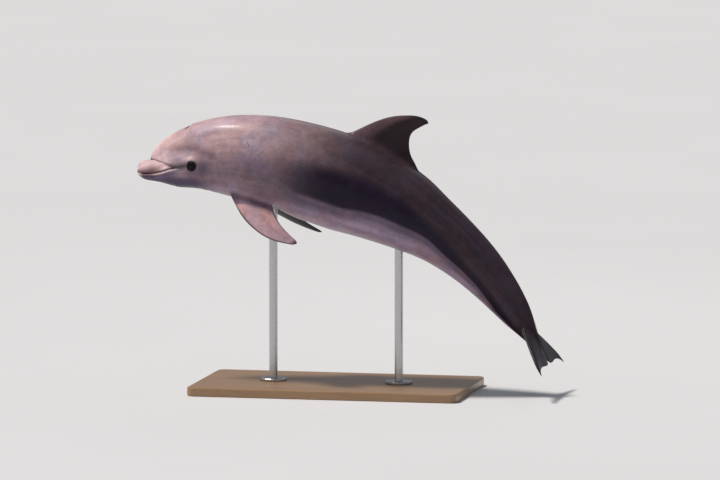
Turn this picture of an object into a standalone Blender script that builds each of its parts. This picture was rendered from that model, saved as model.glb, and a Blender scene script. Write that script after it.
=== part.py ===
"""A young bottlenose dolphin, life size, arched in mid leap and held up on a display stand.

Metres, +Z up. The animal faces -X and its plane of symmetry is Y = 0, so its left side is -Y. The origin is
the middle of the stand's underside, on the floor.

The body is one lofted form. Its sizes are given at stations, which are fractions of the body length behind
the front of the mouth, and the straight form is then bent along the spine. Thin cuts part it into the
upper jaw, lower jaw, head, trunk and tail stock, and the fins are cut to sit against it.
"""

import math

import bmesh
import bpy
import numpy as np
from mathutils import Matrix, Vector

# Driving sizes.
BODY_LENGTH = 1.95  # front of the mouth to the notch between the flukes, along the spine
SNOUT_HEIGHT = 0.870  # station 0 above the floor
SNOUT_X = -0.810  # station 0 from the middle of the stand
GAP = 0.0003  # clearance between neighbouring pieces

# The spine's slope in degrees, downward to the tail, at each station.
SPINE_PITCH = (
    (0.0, -8), (0.1, -7), (0.2, 1), (0.3, 11), (0.4, 16), (0.5, 22), (0.6, 28), (0.7, 36), (0.8, 48),
    (0.9, 56), (1.0, 58),
)

# The body's outline at each station, in fractions of the body length from the spine.
BACK_HEIGHT = (
    (0.0275, 0.0195), (0.032, 0.031), (0.039, 0.040), (0.052, 0.0505), (0.08, 0.0668), (0.12, 0.0823),
    (0.16, 0.0923), (0.22, 0.101), (0.30, 0.107), (0.40, 0.109), (0.50, 0.1025), (0.58, 0.090),
    (0.64, 0.0735), (0.70, 0.061), (0.80, 0.0455), (0.88, 0.033), (0.935, 0.020), (0.985, 0.0045),
)
BELLY_DEPTH = (
    (0.0, 0.0150), (0.015, 0.0212), (0.04, 0.028), (0.08, 0.0425), (0.12, 0.049), (0.15, 0.0565),
    (0.20, 0.068), (0.30, 0.077), (0.37, 0.089), (0.43, 0.0905), (0.50, 0.084), (0.58, 0.0735),
    (0.66, 0.0615), (0.75, 0.053), (0.82, 0.0445), (0.88, 0.034), (0.935, 0.019), (0.985, 0.0045),
)
HALF_WIDTH = (
    (0.0275, 0.003), (0.033, 0.0095), (0.043, 0.0184), (0.055, 0.0251), (0.071, 0.0337), (0.08, 0.0382),
    (0.10, 0.0445), (0.125, 0.0505), (0.16, 0.0595), (0.20, 0.068), (0.26, 0.078), (0.33, 0.086),
    (0.40, 0.0885), (0.47, 0.086), (0.55, 0.076), (0.63, 0.0605), (0.70, 0.047), (0.78, 0.034),
    (0.86, 0.0235), (0.92, 0.017), (0.955, 0.0135), (0.985, 0.007),
)
# The widest level of each section, above the spine. Ahead of the eye it is the line of the mouth.
WIDEST_LEVEL = (
    (0.0, -0.0027), (0.008, -0.0055), (0.018, -0.0072), (0.036, -0.0076), (0.055, -0.0055),
    (0.0725, -0.0020), (0.086, -0.0008), (0.12, 0.0), (0.20, 0.006), (0.30, 0.010), (0.42, 0.010),
    (0.55, 0.004), (0.985, 0.0),
)
# How square each section is above and below its widest level: 2 is an ellipse, less is keeled, more is boxy.
BACK_FULLNESS = (
    (0.0, 2.2), (0.10, 2.1), (0.20, 2.1), (0.45, 2.0), (0.60, 1.85), (0.75, 1.65), (0.90, 1.7),
    (0.985, 2.0),
)
BELLY_FULLNESS = (
    (0.0, 2.4), (0.10, 2.3), (0.30, 2.3), (0.45, 2.1), (0.60, 1.9), (0.75, 1.65), (0.90, 1.7), (0.985, 2.0),
)

# The beak's own form, which runs back inside the melon.
BEAK_HEIGHT = (
    (0.0, 0.0125), (0.010, 0.0172), (0.020, 0.0188), (0.029, 0.0202), (0.037, 0.0223), (0.045, 0.0243),
    (0.056, 0.0250), (0.075, 0.0215), (0.13, 0.012),
)
BEAK_HALF_WIDTH = (
    (0.0, 0.0135), (0.015, 0.0183), (0.03, 0.0218), (0.043, 0.0252), (0.055, 0.0292), (0.071, 0.0345),
    (0.08, 0.0372), (0.13, 0.030),
)
BEAK_TIP_STATION = -0.0030  # the lips end this far ahead of station 0
BEAK_TIP_LENGTH = 0.018  # over which the tip rounds off
BEAK_TIP_POWER = 2.1  # 2 rounds it off as an ellipse
CREASE_SOFTNESS = 0.0012  # how far the crease between the beak and the melon is filled

# Where the body is parted: stations, and points of station and height above the spine.
NECK_STATION = 0.170
WAIST_STATION = 0.610
TAIL_END_STATION = 0.985
GAPE = (0.086, -0.0008)  # the corner of the mouth
MELON_EDGE = (
    (0.071, 0.0046), (0.055, 0.0134), (0.043, 0.0180), (0.033, 0.0210), (0.028, 0.0222), (0.0255, 0.050),
)
THROAT_EDGE = (
    (0.118, -0.060),
)

# Fins, in metres: points as (distance aft, distance out) from the front of the root.
DORSAL_STATION = 0.415
DORSAL_PITCH = 24.0
DORSAL_LEADING = (
    (-0.055, -0.060), (0.0, 0.0), (0.033, 0.039), (0.066, 0.078), (0.100, 0.113), (0.138, 0.144),
    (0.178, 0.166), (0.221, 0.184), (0.252, 0.1885), (0.2705, 0.1855), (0.2786, 0.1774),
)
DORSAL_TRAILING = (
    (0.350, -0.060), (0.308, 0.0), (0.275, 0.022), (0.251, 0.049), (0.236, 0.081), (0.232, 0.107),
    (0.239, 0.128), (0.2515, 0.146), (0.2676, 0.1663), (0.2786, 0.1774),
)
DORSAL_HALF_THICKNESS = ((0.0, 0.0175), (0.2, 0.0150), (0.6, 0.0085), (1.0, 0.0035))

FLIPPER_STATION = 0.2035
# The front of each root, in degrees round the section from the widest level.
FLIPPER_ANGLES = {"left": -56.0, "right": -50.0}
# The pose of each: its chord's slope down and outward to the tail, and its span's slope down and out.
FLIPPER_POSES = {"left": (12.5, 8.0, 50.0), "right": (19.0, -8.0, 32.0)}
FLIPPER_LEADING = (
    (-0.030, -0.050), (0.000, 0.000), (0.033, 0.034), (0.066, 0.067), (0.106, 0.099), (0.140, 0.120),
    (0.174, 0.136), (0.213, 0.150), (0.276, 0.158), (0.322, 0.155), (0.345, 0.150), (0.354, 0.142),
)
FLIPPER_TRAILING = (
    (0.165, -0.050), (0.185, 0.000), (0.207, 0.032), (0.248, 0.074), (0.298, 0.107), (0.328, 0.123),
    (0.346, 0.1325), (0.354, 0.142),
)
FLIPPER_HALF_THICKNESS = ((0.0, 0.0190), (0.25, 0.0160), (0.6, 0.0090), (1.0, 0.0030))

FLUKE_STATION = 0.90
FLUKE_PITCH = 56.0
FLUKE_LEADING = (
    (-0.005, 0.0), (0.020, 0.030), (0.062, 0.080), (0.110, 0.135), (0.160, 0.184), (0.205, 0.219),
    (0.240, 0.234),
)
FLUKE_TRAILING = (
    (0.195, 0.0), (0.208, 0.014), (0.214, 0.040), (0.213, 0.082), (0.210, 0.125), (0.213, 0.168),
    (0.224, 0.208), (0.240, 0.234),
)
FLUKE_HALF_THICKNESS = ((0.0, 0.0150), (0.3, 0.0110), (0.7, 0.0060), (1.0, 0.0025))
FIN_EDGE = 0.0009  # half the thickness of a fin's thin trailing edge

# Eyes and blowhole.
EYE_STATION = 0.1235
EYE_ANGLE = 1.0
EYE_RADIUS = 0.017
EYE_BULGE = 0.0055  # how far the eyeball stands out of the skin
BLOWHOLE_STATION = 0.111
BLOWHOLE_RADIUS = 0.020
BLOWHOLE_GROOVE = 0.0025  # radius of the groove's section
BLOWHOLE_TILT = 14.0

# The stand.
BASE_LENGTH = 1.10
BASE_WIDTH = 0.60
BASE_THICKNESS = 0.036
BASE_CORNER = 0.030
BASE_EDGE = 0.006
ROD_RADIUS = 0.017
ROD_STATIONS = {"front": 0.30, "rear": 0.60}
FLANGE_RADIUS = 0.055
FLANGE_THICKNESS = 0.010
FLANGE_EDGE = 0.002

# How finely the forms are divided.
BODY_SIDES = 32
BEAK_DIVISIONS = (
    0.0006, 0.0024, 0.005, 0.009, 0.013, 0.017, 0.0225, 0.027, 0.0305, 0.0325, 0.0355, 0.040, 0.046, 0.054,
)
HEAD_STATIONS = (0.062, 0.074, 0.088, 0.104, 0.122, 0.145)
TRUNK_DIVISIONS = 17
TAIL_DIVISIONS = 18
FIN_SIDES = 20
FIN_DIVISIONS = 13

# Colours, as linear RGB.
BACK_GREY = (0.085, 0.070, 0.075)
HEAD_GREY = (0.200, 0.150, 0.155)
BELLY_PINK = (0.290, 0.215, 0.215)
FIN_GREY = (0.050, 0.036, 0.042)
FLIPPER_TAN = (0.170, 0.120, 0.115)
EYE_BROWN = (0.012, 0.008, 0.007)
OAK = (0.330, 0.190, 0.095)
STEEL = (0.560, 0.570, 0.580)

SKIN_ROUGHNESS = 0.35
EYE_ROUGHNESS = 0.05
WOOD_ROUGHNESS = 0.45
STEEL_ROUGHNESS = 0.30


def smooth_curve(points, softness=0.0):
    """The smooth curve through (x, y) points, as a function of x that stays level beyond them.

    It is a monotone cubic, which doesn't overshoot. Softness averages it over about that much of x.
    """
    x, y = np.array(points, float).T
    run = np.diff(x)
    slope = np.diff(y) / run
    before, after = slope[:-1], slope[1:]
    weight_before = 2 * run[1:] + run[:-1]
    weight_after = run[1:] + 2 * run[:-1]
    turning = before * after <= 0
    product = np.where(turning, 1.0, before * after)
    share = weight_before * after + weight_after * before + turning
    mean = (weight_before + weight_after) * product / share
    tangent = np.concatenate([slope[:1], np.where(turning, 0.0, mean), slope[-1:]])

    def value(at):
        at = np.clip(at, x[0], x[-1])
        piece = np.clip(np.searchsorted(x, at) - 1, 0, len(run) - 1)
        t = (at - x[piece]) / run[piece]
        ends = y[piece] * (1 + 2 * t) * (1 - t) ** 2 + y[piece + 1] * t * t * (3 - 2 * t)
        return ends + run[piece] * (tangent[piece] * t * (1 - t) ** 2 - tangent[piece + 1] * t * t * (1 - t))

    if not softness:
        return value
    fine = np.linspace(x[0], x[-1], 2001)
    reach = softness * np.linspace(-2, 2, 17)
    share = np.exp(-((reach / softness) ** 2) / 2)
    share /= share.sum()
    # Past an end the curve is continued as its own point reflection, which keeps the end in place.
    at = fine[:, None] + reach
    inside = value(at)
    inside = np.where(at < x[0], 2 * y[0] - value(2 * x[0] - at), inside)
    inside = np.where(at > x[-1], 2 * y[-1] - value(2 * x[-1] - at), inside)
    softened = inside @ share
    return lambda at: np.interp(at, fine, softened)


def smooth_path(points):
    """The natural cubic spline through the points, as a function of 0 to 1 along it."""
    points = np.array(points, float)
    along = np.concatenate([[0.0], np.cumsum(np.linalg.norm(np.diff(points, axis=0), axis=1))])
    along /= along[-1]
    run = np.diff(along)
    system = np.eye(len(points))
    bend = np.zeros_like(points)
    for i in range(1, len(points) - 1):
        system[i, i - 1 : i + 2] = run[i - 1], 2 * (run[i - 1] + run[i]), run[i]
        bend[i] = 6 * ((points[i + 1] - points[i]) / run[i] - (points[i] - points[i - 1]) / run[i - 1])
    bend = np.linalg.solve(system, bend)

    def value(at):
        piece = np.clip(np.searchsorted(along, at) - 1, 0, len(run) - 1)
        width = run[piece][:, None]
        right = (at - along[piece])[:, None]
        left = width - right
        straight = (points[piece] * left + points[piece + 1] * right) / width
        curved_in = bend[piece] * (left**3 / width - left * width)
        curved_out = bend[piece + 1] * (right**3 / width - right * width)
        return straight + (curved_in + curved_out) / 6

    return value


back_height = smooth_curve(BACK_HEIGHT, 0.0018)
belly_depth = smooth_curve(BELLY_DEPTH, 0.006)
half_width = smooth_curve(HALF_WIDTH, 0.0018)
widest_level = smooth_curve(WIDEST_LEVEL, 0.002)
back_fullness = smooth_curve(BACK_FULLNESS)
belly_fullness = smooth_curve(BELLY_FULLNESS)
beak_height = smooth_curve(BEAK_HEIGHT)
beak_half_width = smooth_curve(BEAK_HALF_WIDTH)

SPINE_STATIONS = np.linspace(-0.05, 1.10, 2301)
SPINE_SLOPES = np.radians(smooth_curve(SPINE_PITCH, 0.02)(SPINE_STATIONS))


def spine_offsets(rate):
    """The distance from station 0 to each of SPINE_STATIONS, where rate is that per length of spine."""
    step = BODY_LENGTH * (SPINE_STATIONS[1] - SPINE_STATIONS[0])
    covered = np.concatenate([[0.0], np.cumsum((rate[1:] + rate[:-1]) / 2 * step)])
    return covered - np.interp(0.0, SPINE_STATIONS, covered)


SPINE_X = SNOUT_X + spine_offsets(np.cos(SPINE_SLOPES))
SPINE_Z = SNOUT_HEIGHT - spine_offsets(np.sin(SPINE_SLOPES))


def bent(station, across, height):
    """Points of the straight body, in metres off the spine, moved to their places on the bent one."""
    slope = np.interp(station, SPINE_STATIONS, SPINE_SLOPES)
    x = np.interp(station, SPINE_STATIONS, SPINE_X) + np.sin(slope) * height
    z = np.interp(station, SPINE_STATIONS, SPINE_Z) + np.cos(slope) * height
    return np.stack(np.broadcast_arrays(x, across, z), axis=-1)


def oval(angle, width, above, below, fullness_above, fullness_below):
    """The radius, at an angle up from the side, of an oval that differs above and below its widest level."""
    rise = np.sin(angle)
    tall = np.where(rise > 0, above, below)
    fullness = np.where(rise > 0, fullness_above, fullness_below)
    return (np.abs(np.cos(angle) / width) ** fullness + np.abs(rise / tall) ** fullness) ** (-1 / fullness)


def section_radius(station, angle):
    """The skin's distance from the section's widest level at Y = 0, in fractions of the body length."""
    level = widest_level(station)
    depth = belly_depth(station) + level
    shapes = back_fullness(station), belly_fullness(station)
    under_melon = np.clip((station - BACK_HEIGHT[0][0]) / 0.05, 0.2, 1.0)
    main = oval(angle, half_width(station), back_height(station) - level, depth * under_melon, *shapes)
    beak = oval(angle, beak_half_width(station), beak_height(station) - level, depth, *shapes)
    nearness = np.clip(1 - np.abs(main - beak) / (2 * CREASE_SOFTNESS), 0, 1)
    joined = np.maximum(main, beak) + CREASE_SOFTNESS / 2 * nearness**2
    rounding = np.clip(1 - (station - BEAK_TIP_STATION) / BEAK_TIP_LENGTH, 0, 1) ** BEAK_TIP_POWER
    return joined * (1 - rounding) ** (1 / BEAK_TIP_POWER)


def skin_points(station, angle, lift=0.0):
    """Points of the skin, lifted off it in metres. An angle of 0 is the left side and 90 the back."""
    angle = np.radians(angle)
    radius = section_radius(station, angle) * BODY_LENGTH + lift
    height = widest_level(station) * BODY_LENGTH + radius * np.sin(angle)
    return bent(station, -radius * np.cos(angle), height)


def skin_frame(station, angle):
    """A matrix at a point of the skin, with its Z axis straight out and its X axis to the tail."""
    small = 0.002
    point = Vector(skin_points(station, angle))
    aft = Vector(skin_points(station + small, angle)) - Vector(skin_points(station - small, angle))
    around = Vector(skin_points(station, angle + 1)) - Vector(skin_points(station, angle - 1))
    out = aft.cross(around).normalized()
    aft.normalize()
    rotation = Matrix((aft, out.cross(aft), out)).transposed().to_4x4()
    return Matrix.Translation(point) @ rotation


def collection(name):
    made = bpy.data.collections.new(name)
    bpy.context.scene.collection.children.link(made)
    return made


def clear_scene():
    for obj in list(bpy.data.objects):
        bpy.data.objects.remove(obj, do_unlink=True)


def material(name, colour, roughness, metallic=0.0):
    made = bpy.data.materials.new(name)
    made.use_nodes = True
    shader = made.node_tree.nodes["Principled BSDF"]
    shader.inputs["Base Color"].default_value = (*colour, 1.0)
    shader.inputs["Roughness"].default_value = roughness
    shader.inputs["Metallic"].default_value = metallic
    return made


def skin_material(name, colour):
    return material(f"{name} skin", colour, SKIN_ROUGHNESS)


def add_object(name, mesh, group, surface=None):
    obj = bpy.data.objects.new(name, mesh)
    group.objects.link(obj)
    if surface:
        mesh.materials.append(surface)
        mesh.shade_smooth()
        mesh.set_sharp_from_angle(angle=math.radians(40))
    else:
        obj.hide_render = True
        obj.display_type = "WIRE"
    return obj


def mesh_of(shape, name):
    """Ends a bmesh and returns its mesh, with the faces pointing out."""
    bmesh.ops.recalc_face_normals(shape, faces=shape.faces)
    mesh = bpy.data.meshes.new(name)
    shape.to_mesh(mesh)
    shape.free()
    return mesh


def loft(name, rings):
    """The closed, capped mesh over rings of points. A ring whose points all meet becomes one point."""
    shape = bmesh.new()
    rows = []
    for ring in rings:
        pointed = np.ptp(ring, axis=0).max() < 1e-7
        rows.append([shape.verts.new(point) for point in (ring[:1] if pointed else ring)])
    sides = len(rings[0])
    for front, back in zip(rows, rows[1:]):
        for i in range(sides):
            j = (i + 1) % sides
            corners = [front[i % len(front)], front[j % len(front)], back[j % len(back)], back[i % len(back)]]
            for triangle in (corners[:3], [corners[0], corners[2], corners[3]]):
                if len(set(triangle)) == 3:
                    shape.faces.new(triangle)
    for row in (rows[0], rows[-1]):
        if len(row) > 1:
            shape.faces.new(row)
    return mesh_of(shape, name)


def body_loft(name, stations, lift=0.0):
    angles = (np.arange(BODY_SIDES) + 0.5) * 360 / BODY_SIDES
    return loft(name, [skin_points(np.full(BODY_SIDES, station), angles, lift) for station in stations])


def outline_prism(name, outline):
    """A prism across the body over an outline of (station, height) points, as fractions of its length."""
    stations, heights = np.array(outline, float).T
    half_depth = 0.2
    shape = bmesh.new()
    corners = bent(stations, -half_depth, heights * BODY_LENGTH)
    face = shape.faces.new([shape.verts.new(corner) for corner in corners])
    swept = bmesh.ops.extrude_face_region(shape, geom=[face])["geom"]
    moved = [item for item in swept if isinstance(item, bmesh.types.BMVert)]
    bmesh.ops.translate(shape, verts=moved, vec=(0, 2 * half_depth, 0))
    return mesh_of(shape, name)


def boolean(obj, operation, cutter):
    modifier = obj.modifiers.new(f"{operation.title()} {cutter.name}", "BOOLEAN")
    modifier.operation = operation
    modifier.object = cutter


def shifted(points, aft, up):
    """(station, height) points moved by a distance in metres."""
    return [(station + aft / BODY_LENGTH, height + up / BODY_LENGTH) for station, height in points]


def body_stations():
    """The stations of each length of the body, where each cut between two of them leaves a gap."""
    half_gap = GAP / 2 / BODY_LENGTH
    beak = [BEAK_TIP_STATION, *(BEAK_TIP_STATION + behind for behind in BEAK_DIVISIONS)]
    head = [*beak, *HEAD_STATIONS, NECK_STATION - half_gap]
    trunk = np.linspace(NECK_STATION + half_gap, WAIST_STATION - half_gap, TRUNK_DIVISIONS + 1)
    tail = np.linspace(WAIST_STATION + half_gap, TAIL_END_STATION, TAIL_DIVISIONS + 1)
    return head, list(trunk), list(tail)


def build_body(group, cutters):
    """The head with its two jaws, the trunk and the tail stock."""
    head_stations, trunk_stations, tail_stations = body_stations()
    for name, stations in (("trunk", trunk_stations), ("tail_stock", tail_stations)):
        add_object(name, body_loft(name, stations), group, skin_material(name, BACK_GREY))

    mouth = [point for point in WIDEST_LEVEL if point[0] < GAPE[0]]
    mouth = [(-0.02, mouth[0][1]), *mouth, GAPE]
    above = [(-0.02, 0.05)]
    below = [(-0.02, -0.06)]
    # Each outline runs back along the mouth, then away from it along the edge of the melon or the throat.
    upper = [*shifted(mouth, 0, GAP / 2), *MELON_EDGE, *above]
    lower = [*shifted(mouth, 0, -GAP / 2), *THROAT_EDGE, *below]
    front = [*shifted([GAPE, *MELON_EDGE], 0.35 * GAP, 0.94 * GAP), *above, *below]
    front += shifted(THROAT_EDGE, 0.87 * GAP, 0.5 * GAP)
    for name, operation, outline, colour in (
        ("upper_jaw", "INTERSECT", upper, HEAD_GREY),
        ("lower_jaw", "INTERSECT", lower, BELLY_PINK),
        ("head", "DIFFERENCE", front, HEAD_GREY),
    ):
        piece = add_object(name, body_loft(name, head_stations), group, skin_material(name, colour))
        cutter = f"{name} outline"
        boolean(piece, operation, add_object(cutter, outline_prism(cutter, outline), cutters))


def fin_rings(leading, trailing, half_thickness):
    """Rings of (aft, out, thick) points from a fin's root to its tip, each round a rounded wing section."""
    turn = np.arange(FIN_SIDES) * 2 * math.pi / FIN_SIDES
    chord = (1 - np.cos(turn)) / 2
    wing = 1.49 * np.sqrt(chord) - 0.63 * chord - 1.76 * chord**2 + 1.42 * chord**3 - 0.52 * chord**4
    edge = FIN_EDGE * np.abs(np.sin(turn)) ** 0.4
    along = 1 - (1 - np.linspace(0, 1, FIN_DIVISIONS + 1)) ** 1.6
    thickness = smooth_curve(half_thickness)(along)
    for front, back, thick in zip(smooth_path(leading)(along), smooth_path(trailing)(along), thickness):
        flat = front + (back - front) * chord[:, None]
        pointed = np.linalg.norm(back - front) < 1e-9
        up = np.zeros(FIN_SIDES) if pointed else np.sign(np.sin(turn)) * (2 * thick * wing + edge)
        yield np.column_stack([flat, up])


def fin(name, frame, rings, group, surface, cutter):
    """A fin in its frame's (aft, out, thick) axes, cut to sit against the body."""
    turn = np.array(frame.to_3x3())
    origin = np.array(frame.translation)
    obj = add_object(name, loft(name, [ring @ turn.T + origin for ring in rings]), group, surface)
    boolean(obj, "DIFFERENCE", cutter)
    return obj


def fin_frame(origin, aft, out):
    """A frame at a root's front, from its aft direction and the general direction outward."""
    aft = Vector(aft).normalized()
    out = Vector(out)
    out = (out - out.dot(aft) * aft).normalized()
    rotation = Matrix((aft, out, aft.cross(out))).transposed().to_4x4()
    return Matrix.Translation(Vector(origin)) @ rotation


def aft_at(pitch, turn=0.0):
    """The direction to the tail at a downward slope, turned toward +Y, both in degrees."""
    pitch, turn = math.radians(pitch), math.radians(turn)
    return math.cos(pitch) * math.cos(turn), math.cos(pitch) * math.sin(turn), -math.sin(pitch)


def build_fins(group, cutter):
    rings = list(fin_rings(DORSAL_LEADING, DORSAL_TRAILING, DORSAL_HALF_THICKNESS))
    frame = fin_frame(skin_points(DORSAL_STATION, 90), aft_at(DORSAL_PITCH), (0, 0, 1))
    fin("dorsal_fin", frame, rings, group, skin_material("dorsal_fin", FIN_GREY), cutter)

    flipper_rings = list(fin_rings(FLIPPER_LEADING, FLIPPER_TRAILING, FLIPPER_HALF_THICKNESS))
    fluke_rings = list(fin_rings(FLUKE_LEADING, FLUKE_TRAILING, FLUKE_HALF_THICKNESS))
    for side, sign in (("left", -1), ("right", 1)):
        pitch, splay, droop = FLIPPER_POSES[side]
        droop = math.radians(droop)
        root = skin_points(FLIPPER_STATION, FLIPPER_ANGLES[side]) * (1, -sign, 1)
        frame = fin_frame(root, aft_at(pitch, sign * splay), (0, sign * math.cos(droop), -math.sin(droop)))
        name = f"flipper_{side}"
        fin(name, frame, flipper_rings, group, skin_material(name, FLIPPER_TAN), cutter)

        root = bent(FLUKE_STATION, sign * GAP / 2, 0.0)
        frame = fin_frame(root, aft_at(FLUKE_PITCH), (0, sign, 0))
        name = f"fluke_{side}"
        fin(name, frame, fluke_rings, group, skin_material(name, BACK_GREY), cutter)


def ball(name, radius, place, group, surface=None):
    shape = bmesh.new()
    bmesh.ops.create_uvsphere(shape, u_segments=16, v_segments=10, radius=radius)
    obj = add_object(name, mesh_of(shape, name), group, surface)
    obj.matrix_world = place
    return obj


def build_eyes(group, cutters):
    """The eyeballs, each in a socket of the head."""
    head = group.objects["head"]
    surface = material("eye", EYE_BROWN, EYE_ROUGHNESS)
    left = skin_frame(EYE_STATION, EYE_ANGLE) @ Matrix.Translation((0, 0, EYE_BULGE - EYE_RADIUS))
    right = Matrix.Diagonal((1, -1, 1, 1)) @ left @ Matrix.Diagonal((1, -1, 1, 1))
    for side, place in (("left", left), ("right", right)):
        ball(f"eye_{side}", EYE_RADIUS, place, group, surface)
        boolean(head, "DIFFERENCE", ball(f"{side} eye socket", EYE_RADIUS + GAP, place, cutters))


def cut_blowhole(group, cutters):
    """A crescent groove on the crown, left by a thin ring whose front half tilts clear of the skin."""
    bpy.ops.mesh.primitive_torus_add(
        major_radius=BLOWHOLE_RADIUS, minor_radius=BLOWHOLE_GROOVE, major_segments=24, minor_segments=8
    )
    ring = bpy.context.object
    ring.name = "blowhole groove"
    tilt = Matrix.Rotation(math.radians(BLOWHOLE_TILT), 4, "Y")
    ring.matrix_world = skin_frame(BLOWHOLE_STATION, 90) @ tilt
    ring.hide_render = True
    ring.display_type = "WIRE"
    for owner in list(ring.users_collection):
        owner.objects.unlink(ring)
    cutters.objects.link(ring)
    boolean(group.objects["head"], "DIFFERENCE", ring)


def bevel(obj, width, segments, limit="ANGLE"):
    modifier = obj.modifiers.new("Rounded edges", "BEVEL")
    modifier.width = width
    modifier.segments = segments
    modifier.limit_method = limit


def build_base(group):
    """A flat board with rounded corners and softened edges, its underside on the floor."""
    shape = bmesh.new()
    bmesh.ops.create_cube(shape, size=1.0)
    bmesh.ops.scale(shape, verts=shape.verts, vec=(BASE_LENGTH, BASE_WIDTH, BASE_THICKNESS))
    bmesh.ops.translate(shape, verts=shape.verts, vec=(0, 0, BASE_THICKNESS / 2))
    uprights = [edge for edge in shape.edges if abs(edge.verts[0].co.z - edge.verts[1].co.z) > BASE_EDGE]
    bmesh.ops.bevel(shape, geom=uprights, offset=BASE_CORNER, segments=5, affect="EDGES", profile=0.5)
    surface = material("stand wood", OAK, WOOD_ROUGHNESS)
    base = add_object("stand_base", mesh_of(shape, "stand_base"), group, surface)
    bevel(base, BASE_EDGE, 2)


def cylinder(name, radius, bottom, top, x, group, surface, sides):
    shape = bmesh.new()
    bmesh.ops.create_cone(
        shape, cap_ends=True, segments=sides, radius1=radius, radius2=radius, depth=top - bottom
    )
    obj = add_object(name, mesh_of(shape, name), group, surface)
    obj.location = (x, 0, (bottom + top) / 2)
    return obj


def build_rods(group, cutter):
    """Two upright rods, each in a round flange on the base and ending against the belly."""
    surface = material("stand steel", STEEL, STEEL_ROUGHNESS, metallic=1.0)
    for place, station in ROD_STATIONS.items():
        x, _, belly = skin_points(station, -90)
        foot = BASE_THICKNESS + GAP
        top = foot + FLANGE_THICKNESS
        flange = cylinder(f"stand_flange_{place}", FLANGE_RADIUS, foot, top, x, group, surface, 28)
        bevel(flange, FLANGE_EDGE, 1)
        # The rod's upper end is cut off at the belly.
        rod = cylinder(f"stand_rod_{place}", ROD_RADIUS, top + GAP, belly + 0.05, x, group, surface, 24)
        boolean(rod, "DIFFERENCE", cutter)


def main():
    clear_scene()
    group = collection("bottlenose dolphin")
    cutters = collection("cutters")
    stations = [station for length in body_stations() for station in length]
    clearance = add_object("body clearance", body_loft("body clearance", stations, GAP), cutters)
    build_body(group, cutters)
    build_eyes(group, cutters)
    cut_blowhole(group, cutters)
    build_fins(group, clearance)
    build_base(group)
    build_rods(group, clearance)


main()
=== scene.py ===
"""The finished look of the bottlenose dolphin on its display stand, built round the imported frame.

One skin covers the jaws, head, trunk, tail and fins. It follows the same named sizes as the solids, on a
finer grid, and its fins, eyelids and blowhole are joined in with rings of faces, so that it has no seam.
Metres, +Z up. The animal faces -X and its left side is -Y.
"""

import math

import bmesh
import bpy
import numpy as np
from mathutils import Matrix, Vector


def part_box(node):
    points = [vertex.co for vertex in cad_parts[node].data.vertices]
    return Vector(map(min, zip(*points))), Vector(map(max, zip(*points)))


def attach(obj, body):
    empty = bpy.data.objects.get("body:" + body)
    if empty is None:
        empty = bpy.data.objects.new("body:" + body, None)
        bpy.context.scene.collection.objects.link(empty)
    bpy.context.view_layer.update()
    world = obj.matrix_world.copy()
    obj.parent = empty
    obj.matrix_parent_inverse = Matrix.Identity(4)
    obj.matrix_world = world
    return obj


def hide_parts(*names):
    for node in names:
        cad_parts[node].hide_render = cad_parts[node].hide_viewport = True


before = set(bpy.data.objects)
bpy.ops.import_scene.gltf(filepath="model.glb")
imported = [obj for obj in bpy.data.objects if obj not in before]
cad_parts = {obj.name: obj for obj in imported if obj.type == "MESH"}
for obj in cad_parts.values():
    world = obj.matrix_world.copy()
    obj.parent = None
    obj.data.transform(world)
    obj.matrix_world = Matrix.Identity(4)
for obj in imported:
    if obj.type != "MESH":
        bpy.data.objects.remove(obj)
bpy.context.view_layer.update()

# The animal's sizes, as in the solids.
BODY_LENGTH = 1.95
SPINE_PITCH = (
    (0.0, -8), (0.1, -7), (0.2, 1), (0.3, 11), (0.4, 16), (0.5, 22), (0.6, 28), (0.7, 36), (0.8, 48),
    (0.9, 56), (1.0, 58),
)
BACK_HEIGHT = (
    (0.0275, 0.0195), (0.032, 0.031), (0.039, 0.040), (0.052, 0.0505), (0.08, 0.0668), (0.12, 0.0823),
    (0.16, 0.0923), (0.22, 0.101), (0.30, 0.107), (0.40, 0.109), (0.50, 0.1025), (0.58, 0.090),
    (0.64, 0.0735), (0.70, 0.061), (0.80, 0.0455), (0.88, 0.033), (0.935, 0.020), (0.985, 0.0045),
)
BELLY_DEPTH = (
    (0.0, 0.0150), (0.015, 0.0212), (0.04, 0.028), (0.08, 0.0425), (0.12, 0.049), (0.15, 0.0565),
    (0.20, 0.068), (0.30, 0.077), (0.37, 0.089), (0.43, 0.0905), (0.50, 0.084), (0.58, 0.0735),
    (0.66, 0.0615), (0.75, 0.053), (0.82, 0.0445), (0.88, 0.034), (0.935, 0.019), (0.985, 0.0045),
)
HALF_WIDTH = (
    (0.0275, 0.003), (0.033, 0.0095), (0.043, 0.0184), (0.055, 0.0251), (0.071, 0.0337), (0.08, 0.0382),
    (0.10, 0.0445), (0.125, 0.0505), (0.16, 0.0595), (0.20, 0.068), (0.26, 0.078), (0.33, 0.086),
    (0.40, 0.0885), (0.47, 0.086), (0.55, 0.076), (0.63, 0.0605), (0.70, 0.047), (0.78, 0.034),
    (0.86, 0.0235), (0.92, 0.017), (0.955, 0.0135), (0.985, 0.007),
)
WIDEST_LEVEL = (
    (0.0, -0.0027), (0.008, -0.0055), (0.018, -0.0072), (0.036, -0.0076), (0.055, -0.0055),
    (0.0725, -0.0020), (0.086, -0.0008), (0.12, 0.0), (0.20, 0.006), (0.30, 0.010), (0.42, 0.010),
    (0.55, 0.004), (0.985, 0.0),
)
BACK_FULLNESS = (
    (0.0, 2.2), (0.10, 2.1), (0.20, 2.1), (0.45, 2.0), (0.60, 1.85), (0.75, 1.65), (0.90, 1.7),
    (0.985, 2.0),
)
BELLY_FULLNESS = (
    (0.0, 2.4), (0.10, 2.3), (0.30, 2.3), (0.45, 2.1), (0.60, 1.9), (0.75, 1.65), (0.90, 1.7), (0.985, 2.0),
)
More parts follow.
